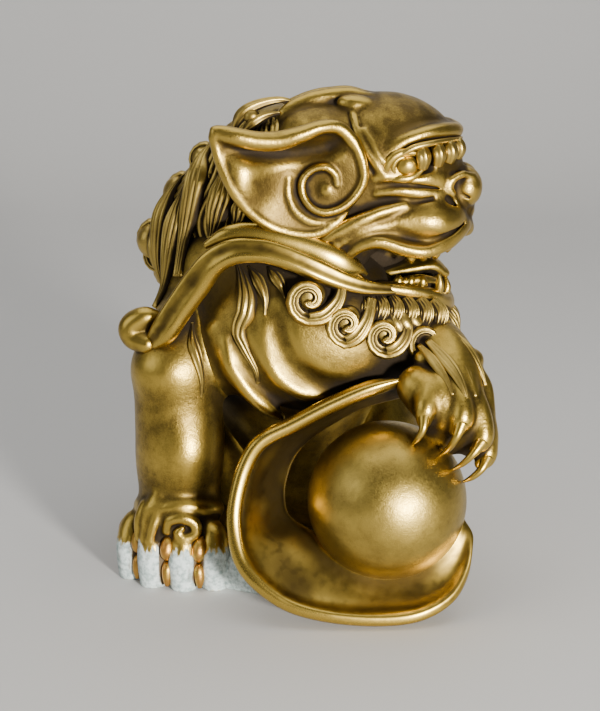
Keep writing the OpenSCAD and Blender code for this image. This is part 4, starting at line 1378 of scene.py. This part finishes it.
@dataclass
class Ears:
    """The large leaf-shaped ear with its rolled rim and spiral, and its twin, set a little lower, on the
    far side."""
    step: float = 0.3
    set_back: Row = (4.5, 0.0, -4.0)

    @staticmethod
    def depth(x: Array, z: Array) -> Array:
        """Y of the ear's middle sheet: proud along the left flank, dished towards the spiral and the top
        groove."""
        bowl = 2.4 * np.exp(-(((x + 0.5) / 9.0) ** 2 + ((z - 97.0) / 7.5) ** 2))
        groove = 2.2 * np.exp(-((z - (103.6 + 0.03 * (x + 4) ** 2 * 0.4)) / 2.4) ** 2)
        groove = groove * smooth_step(-19, -9, x) * (1 - smooth_step(6, 12, x))
        flank = 2.6 * np.exp(-(((x + 12.5) / 5.0) ** 2 + ((z - 97.5) / 8.0) ** 2))
        boss = 0.6 * np.exp(-(((x - 6.0) / 1.6) ** 2 + ((z - 95.2) / 1.6) ** 2))
        return -18.2 + 0.10 * (x + 4) + bowl + groove - flank - boss + 0.05 * (104 - z)

    def rolled(self, rows: Sequence[Row]) -> Tube:
        """A rim laid on the sheet: rows are [x, z, radius, how far it stands off in Y]."""
        x, z, radius, off = np.array(rows).T
        return Tube(np.column_stack([x, self.depth(x, z) + off, z, radius]))

    def ear(self) -> Form:
        """Plate with its rolled top, thin left edge, front edge and spiral."""
        outline = curve([[-19.3, 109.2], [-16.6, 109.4], [-13.2, 108.2], [-6.6, 107.6], [0, 109.2],
                         [5.6, 110.8], [9.6, 110.0],
                         [12.4, 107.0], [14.6, 102.6], [15.3, 97.8], [13.4, 93.2], [11.2, 90.2], [8.8, 86.6],
                         [4.5, 84.4], [0, 84.0], [-6.7, 86.0], [-12.3, 90.5], [-16.6, 97.6],
                         [-19.2, 104.3]], 5)[:-1]
        sheet = Plate(outline, self.depth, 1.15)
        top = self.rolled([[-18.2, 108.2, 1.5, -0.6], [-14.0, 107.4, 2.0, -1.4], [-9.4, 106.4, 2.1, -2.0],
                           [-4.6, 106.4, 2.1, -2.4], [0, 107.7, 1.8, -2.4],
                   [4.6, 109.2, 1.4, -1.8], [8.4, 108.9, 1.1, -1.0], [11.6, 106.2, 0.9, -0.6]])
        left = self.rolled([[-18.8, 107.0, 1.3, -0.4], [-17.6, 101.6, 1.1, -0.4], [-15.2, 96.0, 1.0, -0.4],
                            [-11.8, 91.2, 1.0, -0.4],
                    [-6.6, 87.0, 1.0, -0.4], [-0.4, 85.1, 1.0, -0.5], [4.4, 85.4, 1.0, -0.6],
                            [8.0, 87.6, 0.9, -0.6], [10.0, 90.0, 0.7, -0.4]])
        scroll = self.rolled([[10.6, 107.2, 0.8, -0.6], [12.6, 104.6, 1.0, -0.8], [14.0, 101.0, 1.0, -1.0],
                              [14.2, 97.4, 1.0, -1.1], [12.4, 93.8, 1.0, -1.3],
                      [9.0, 91.0, 0.95, -1.6], [5.2, 90.2, 0.95, -1.8], [2.2, 91.6, 0.9, -1.9],
                              [0.5, 94.6, 0.9, -1.9], [0.7, 97.6, 0.9, -1.8],
                      [2.9, 99.8, 0.85, -1.6], [5.8, 100.2, 0.8, -1.4], [7.8, 98.6, 0.7, -1.2],
                              [8.3, 96.4, 0.5, -0.9]])
        faint = self.rolled([[-2.6, 97.6, 0.3, -0.8], [-2.5, 93.6, 0.45, -0.85], [-0.8, 90.2, 0.45, -0.85],
                             [2.6, 88.0, 0.4, -0.85], [6.6, 87.8, 0.3, -0.7]])
        root = Tube([[3, -9.6, 97, 4.6], [6, -6, 97, 5.6]])
        return Join(Join(sheet, top, faint, soft=1.6), left, scroll, Join(root, soft=1), soft=0.9)

    def build(self, figure: Figure) -> None:
        """Casts the near ear, and reflects it for the far one."""
        near = cast(self.ear(), self.step)
        figure.add("right_ear_leaf", near, CAST, "body_brass", "right_ear")
        far = near.mirrored()
        far.points = far.points + self.set_back
        figure.add("left_ear_leaf", far, CAST, "body_brass", "left_ear")


# ---------- hair ----------

@dataclass
class Hair:
    """Mane, locks, beard, curls and tail."""
    anatomy: Anatomy

    def lock(self, form: Form, rows: Sequence[Row], width: float, height: float, count: int = 3,
             groove: float = 0.55,
             lift: float = 0.1, out: Optional[Row] = None, start: float = 0.5, end: float = 0.2) -> Shell:
        """A grooved lock laid on a form: the path is settled on its skin and the profile looks along its
        slope."""
        path = curve(form.settle(rows, lift), 7)
        facing = unit(form.slope(path)[1]) if out is None else np.array(out, float)
        return carry(tapered(path, width, height, start, end), strands(count, groove), facing, 10 * count + 6)

    def mane(self) -> Shell:
        """The mane's mass with waved strands over it.

        The relief follows the angle about the neck, bent by a slow wave down the length, and is cut to
        sharp valleys with a deeper one at every third strand.
        """
        def relief(at: Array) -> Array:
            """Height of the strands."""
            x, y, z = at.T
            about = np.arctan2(y - 4, x + 4) + 0.10 * np.sin(0.16 * z + 0.8) + 0.05 * np.sin(0.31 * z)
            fine, coarse = np.abs(np.cos(33 * about)), np.abs(np.cos(11 * about))
            off_axis = smooth_step(5, 12, np.hypot(x + 4, y - 4))
            return off_axis * (-0.75 * (1 - fine ** 0.6) - 0.9 * (1 - smooth_step(0, 0.35, coarse)))
        return cast(self.anatomy.mane, 0.5, relief)

    def mane_locks(self) -> Shell:
        """Long locks behind the ear, the S-shaped lock on the chest and the short one beside the ribbon."""
        body = self.anatomy.melted
        mane = Join(self.anatomy.mane, body, soft=4.0)
        made = []
        for rows, width, count in (
                ([[-17.0, 1, 102], [-19.6, 0, 99], [-21.8, -2, 95.2], [-23.1, -2, 90.4], [-25.1, -2, 84.8],
                  [-25.9, -3, 79.6], [-26.6, -5, 72.4]], 3.6, 5),
                ([[-14.0, -3, 99], [-15.4, -6, 94.2], [-16.8, -6, 89.2], [-17.8, -6, 85.0],
                  [-18.2, -6, 80.6]], 3.3, 5),
                ([[-11.8, -8, 92.6], [-12.6, -9, 88.6], [-13.4, -9, 84.4]], 2.6, 4),
                ([[-24.0, 3, 93.0], [-26.6, 2, 87.6], [-28.6, 1, 81.6], [-30.0, -1, 75.6], [-31.4, -2, 69.6],
                  [-32.6, -3, 63.6]], 3.3, 5),
                ([[-25.8, 8, 93.6], [-28.4, 8, 89.6], [-30.8, 7, 84.6], [-32.8, 6, 79.0], [-34.8, 5, 73.0],
                  [-36.2, 4, 66.8], [-36.6, 4, 60.8]], 3.2, 5),
                ([[-32.6, 13, 83.6], [-34.8, 13, 78.6], [-36.6, 12, 73.2], [-38.0, 11, 67.4],
                  [-38.4, 10, 62]], 2.8,
                 4)):
            made.append(self.lock(mane, rows, width, 2.9, count, lift=0.1, start=0.12, end=0.4))
        for rows, width, count in (
                ([[-15.4, -16, 79.8], [-13.6, -17, 75.8], [-12.1, -18, 71.2], [-12.0, -18, 67.0],
                  [-13.4, -18, 63.6], [-12.2, -19, 59.0], [-9.8, -19, 54.6], [-9.6, -19, 50.8]], 2.5, 3),
                ([[-25.0, -14, 64], [-24.7, -15, 59.4], [-24.5, -15, 55], [-24.0, -15, 50.8],
                  [-23.3, -16, 46.4]],
                 1.5, 2),
                ([[-12.6, -18, 79], [-9.4, -18, 74.6], [-7.6, -19, 70.6], [-7.8, -20, 66.8]], 1.6, 2),
                ([[-7.6, -18, 78.6], [-4.6, -20, 74.6], [-3.4, -21, 71.4]], 1.5, 2)):
            made.append(self.lock(body, rows, width, 2.0, count, lift=-0.1, start=0.25))
        for rows, width in (([[-15.6, -3, 104.6], [-14.6, -5, 108.6], [-12.6, -6, 111.4], [-8.9, -5.6, 113.2],
                              [-4.6, -5, 114.0], [-1.6, -4.4, 113.4]], 1.5),
                            ([[-13.4, -7, 106.4], [-10.6, -7.6, 109.0], [-7.6, -7.2, 110.6],
                              [-4.6, -6.4, 111.2]],
                             1.2)):
            path = tapered(curve(rows, 8), width, 1.5, 0.2, 0.4)
            made.append(carry(path, strands(2, 0.4), np.array([-0.3, -1, 0.4]), 26))
        made.append(cast(Blob((-11.0, -6.6, 110.4), (1.9, 1.6, 1.7)), 0.25))
        for k in range(9):
            start = np.array([-12 + 2.6 * k, 8 + 9 * math.sin(k * 0.45), 103 - 1.2 * abs(k - 4)])
            rows = [start + [0.6 * math.sin(3 * t + k) - 3.4 * t, 6 * t, -9.5 * t] for t in range(5)]
            made.append(self.lock(mane, rows, 3.0, 2.2, 3, lift=-0.3))
        return together(made)

    def spine_curls(self) -> Shell:
        """Row of plump curls along the nape and spine."""
        made = []
        for x, y, z, size in ((-23.4, 8, 99.0, 2.8), (-29.4, 13, 89.6, 4.6), (-36.8, 18, 77.2, 4.4),
                              (-33.4, 27, 67.6, 4.6), (-24, 31.6, 62.2, 4.8), (-12.4, 33.8, 57.4, 4.8)):
            away = unit(np.array([x + 4, (y - 8) * 1.1, (z - 76) * 0.5]))
            up = unit(np.cross(away, np.array([0.3, -1, 0.0])))
            for turn, share in ((0, 1.0), (1, 0.82)):
                middle = np.array([x, y, z]) - up * (turn * size * 0.9) - away * (turn * 0.8)
                lead = [middle + up * size * 0.9 - away * size * 0.9, middle + up * size * 0.85 * share]
                face = np.array([away[0] * 0.5, -1, away[2] * 0.3])
                path = coiled(lead, middle - away * size * 0.3, 1.35, rise=2.2, inner=0.2, face=face)
                made.append(carry(tapered(path, 2.3 * share, 2.2 * share, 0.1, 0.4), strands(3, 0.5), face,
                                  34))
            made.append(cast(Blob((x, y, z), (size * 0.9, size * 0.9, size)), 0.6))
        return together(made)

    def chest_curls(self) -> Shell:
        """The four big curls under the jaw that rest on the chest."""
        made = []
        for lead, centre, turns, hand, width in (
                ([[9.6, -20.6, 74.8], [8.6, -22.2, 71.0], [5.4, -23.4, 67.8], [1.6, -23.8, 67.2]],
                 (2.0, -23.6, 71.8),
                 1.15, 1, 2.1),
                ([[16.2, -19.6, 70.8], [15.2, -21.6, 66.8], [12.9, -22.8, 63.2], [10.2, -23.0, 61.6]],
                 (10.4, -22.8, 65.8), 1.1, 1, 2.2),
                ([[24.6, -18.0, 66.4], [24.2, -20.0, 62.6], [22.0, -21.2, 59.8], [19.4, -21.4, 58.8]],
                 (19.2, -21.2, 62.8), 1.1, 1, 2.15),
                ([[33.6, -15.0, 64.4], [33.4, -17.4, 60.6], [31.6, -18.8, 57.8], [29.4, -19.2, 57.0]],
                 (28.8, -19.0, 61.0), 1.1, 1, 2.1)):
            path = coiled(lead, centre, turns, hand=-hand, rise=2.0, inner=0.14, face=(0.1, -1, 0.05))
            path = tapered(path, width, 1.9, 0.6, 0.45, 0.4)
            made.append(carry(path, strands(3, 0.5), np.array([0.1, -1, 0.05]), 34))
            made.append(cast(Blob(np.array(centre) + [0, 2.6, 0], (4.2, 3.4, 4.2)), 0.5))
        return together(made)

    def beard(self) -> Shell:
        """Fine parallel strands from the lower lip down to the curls, and the tufts that fall on the
        raised paw."""
        base = Join(Blob((13, -12, 67), (9, 9.4, 5.2)), Blob((22, -10.5, 64.4), (10, 10.4, 5.8)),
                    Blob((29.5, -6, 60.4), (5.4, 9.6, 6.4)), Blob((33.4, -2, 58), (3.4, 6, 6)), soft=3)

        def relief(at: Array) -> Array:
            """Strands that run down and sweep to the right along the chin."""
            x, _, z = at.T
            flow = 1.9 * x + 0.9 * (z - 66) + 1.2 * np.sin(0.35 * x + 0.2 * z)
            return -0.42 * (1 - np.abs(np.cos(flow * 0.75)) ** 0.6)
        made = [cast(base, 0.36, relief)]
        sweeps = [[[14.6 + 3.2 * k, -17.9 + 0.55 * k, 71.4 - 0.35 * k],
                   [15.4 + 3.4 * k, -20.0 + 0.75 * k, 69.4 - 0.5 * k],
                    [14.6 + 3.4 * k, -21.0 + 0.8 * k, 66.8 - 0.7 * k],
                   [12.8 + 3.4 * k, -21.4 + 0.8 * k, 64.8 - 0.8 * k]] for k in range(6)]
        for rows in sweeps:
            path = tapered(curve(rows, 7), 1.75, 1.4, 0.6, 0.3, 0.4)
            made.append(carry(path, strands(4, 0.55), np.array([0.2, -1, 0.15]), 42))
        for rows, width in (([[29.0, -22.0, 61.6], [31.8, -25.2, 59.0], [34.6, -28.8, 56.0],
                              [36.4, -31.6, 52.6], [37.2, -33.2, 49.4]], 1.7),
                            ([[32.0, -20.8, 62.0], [35.2, -24.4, 58.8], [37.8, -27.8, 54.8],
                              [39.2, -30.2, 50.8]], 1.5),
                            ([[27.0, -22.4, 60.6], [29.8, -26.2, 58.0], [32.4, -29.8, 54.8],
                              [33.8, -32.2, 51.8]], 1.3),
                            ([[34.4, -18.4, 63.0], [37.8, -21.6, 59.6], [40.4, -24.0, 55.8],
                              [42.0, -25.6, 52.0]], 1.6),
                            ([[33.8, -9, 65.6], [35.6, -9.4, 62.8], [37.0, -9.4, 60.2], [38.4, -9, 57.8]],
                             1.6),
                            ([[33.6, -5, 66.6], [36.2, -5, 63.6], [37.2, -5, 60.6], [37.8, -5, 57.0]], 1.7),
                            ([[34.0, -1, 66.6], [36.6, -1, 63.2], [37.4, -1, 59.6], [37.6, -1, 56.0]], 1.7)):
            path = tapered(curve(rows, 7), width, 1.1, 0.5, 0.25, 0.35)
            made.append(carry(path, strands(3, 0.5), np.array([0.45, -1, 0.35]), 34))
        return together(made)

    def tail(self) -> Shell:
        """Flame-shaped tail that lies up the back, in nine waved locks, fanned by their lean from the
        middle."""
        made = []
        for k in range(9):
            lean = (k - 4) / 4
            inner = 1 - abs(lean)
            rows = [[6.5 * lean, 36.5, 24], [10.5 * lean, 40.4 - abs(lean), 33],
                    [12.5 * lean + 1.5, 41.2 - 2 * abs(lean), 43 + 2 * inner],
                    [9.5 * lean - 1.5, 39.8 - 2 * abs(lean), 53 + 4 * inner],
                    [6.0 * lean + 1.0, 37.4 - abs(lean), 61 + 8 * inner]]
            path = tapered(curve(rows, 8), 3.4, 2.6, 0.6, 0.15, 0.4)
            made.append(carry(path, strands(3, 0.5), np.array([0.1 * lean, 1, 0.15]), 36))
        core = Join(Blob((0, 35.5, 40), (11, 4.6, 16)), Blob((0, 34.6, 54), (7, 4, 11)), soft=3)
        return together([*made, cast(core, 0.6)])

    def build(self, figure: Figure) -> None:
        """Adds every hair piece."""
        for name, shell, node in (("mane_mass", self.mane(), "mane"),
                                  ("mane_lock_set", self.mane_locks(), "mane_locks"),
                                  ("spine_curl_row", self.spine_curls(), "spine_curls"),
                                  ("chest_curl_row", self.chest_curls(), "chest_curls"),
                                  ("beard_strands", self.beard(), "beard"),
                                  ("tail_flame", self.tail(), "tail_plume")):
            figure.add(name, shell, HAIR, "hair_brass", node)


# ---------- the stage ----------

@dataclass
class Studio:
    """Pale floor and wall, soft lights and the camera."""
    azimuth: float = 0.0
    elevation: float = 15.0
    reach: float = 0.330
    target: Row = (0.0, -0.029, 0.060)
    lens: float = 75.2

    def floor(self) -> None:
        """A wide floor that curves up into a wall behind the figure."""
        t = np.linspace(0, 1, 41)
        bend = np.clip((t - 0.5) / 0.2, 0, 1) * math.pi / 2
        y = np.where(t < 0.5, -1.6 + t * 4.2, 0.5 + 0.35 * np.sin(bend))
        z = np.where(t < 0.5, 0, 0.35 * (1 - np.cos(bend))) + np.clip(t - 0.7, 0, 1) * 5
        x = np.linspace(-2.2, 2.2, 9)
        points = np.stack([np.broadcast_to(x[:, None], (9, 41)), np.broadcast_to(y, (9, 41)),
                           np.broadcast_to(z, (9, 41))], -1)
        i, j = np.meshgrid(np.arange(8), np.arange(40), indexing="ij")
        a = (i * 41 + j).ravel()
        made = to_object("floor", Shell(points.reshape(-1, 3) / MM, np.stack([a, a + 41, a + 42, a + 1],
                                                                             axis=1)), {})
        board = Board("pale_floor")
        shader = board.number("ShaderNodeBsdfPrincipled", {},
                              {"Base Color": (0.62, 0.61, 0.59, 1), "Roughness": 0.75})
        board.node("ShaderNodeOutputMaterial", {}, {"Surface": shader})
        made.data.materials.append(board.material)

    def light(self, name: str, at: Row, size: float, power: float, tint: Colour = (1, 1, 1)) -> None:
        """A square soft light that looks at the figure."""
        lamp = bpy.data.lights.new(name, "AREA")
        lamp.size, lamp.energy, lamp.color = size, power, tint
        made = bpy.data.objects.new(name, lamp)
        self.aim(made, at, (0, -0.01, 0.06))

    @staticmethod
    def aim(made: bpy.types.Object, at: Row, target: Row) -> None:
        """Places an object and turns its -Z axis to a target."""
        way = unit(np.array(target, float) - np.array(at, float))
        right = unit(np.cross(way, np.array([0.0, 0.0, 1.0])))
        up = np.cross(right, way)
        matrix = np.eye(4)
        matrix[:3, 0], matrix[:3, 1], matrix[:3, 2], matrix[:3, 3] = right, up, -way, at
        made.matrix_world = Matrix(matrix.tolist())
        bpy.context.scene.collection.objects.link(made)

    def build(self) -> None:
        """Lays the floor, sets the lights and the world, and places the camera."""
        self.floor()
        self.light("key", (0.30, -0.60, 0.12), 0.08, 11.5, (1.0, 0.97, 0.92))
        self.light("left_fill", (-0.75, -0.35, 0.45), 0.6, 1.6, (0.95, 0.97, 1.0))
        self.light("top", (0.0, 0.1, 1.0), 1.1, 6.5)
        world = bpy.data.worlds.new("studio")
        world.use_nodes = True
        world.node_tree.nodes["Background"].inputs["Color"].default_value = (0.75, 0.77, 0.8, 1)
        world.node_tree.nodes["Background"].inputs["Strength"].default_value = 0.14
        bpy.context.scene.world = world
        lens = bpy.data.cameras.new("camera")
        lens.lens, lens.sensor_width, lens.clip_start, lens.clip_end = self.lens, 36.0, 0.01, 20.0
        made = bpy.data.objects.new("camera", lens)
        az, el = math.radians(self.azimuth), math.radians(self.elevation)
        away = np.array([math.sin(az) * math.cos(el), -math.cos(az) * math.cos(el), math.sin(el)])
        self.aim(made, np.array(self.target) + self.reach * away, self.target)
        bpy.context.scene.camera = made


def main() -> None:
    """Builds every sub-assembly, writes the pieces and the stage, and notes the sizes."""
    logging.basicConfig(level=logging.INFO, format="%(message)s")
    anatomy, figure = Anatomy(), Figure()
    for assembly in (Torso(anatomy), Foreleg(anatomy), RaisedPaw(anatomy), Haunch(anatomy), Ball(),
                     BallRibbon(),
                     ShoulderRibbon(), Head(), Mouth(), Ears(), Hair(anatomy)):
        assembly.build(figure)
    figure.show()
    Studio().build()
    bpy.context.view_layer.update()


if __name__ == "__main__":
    main()
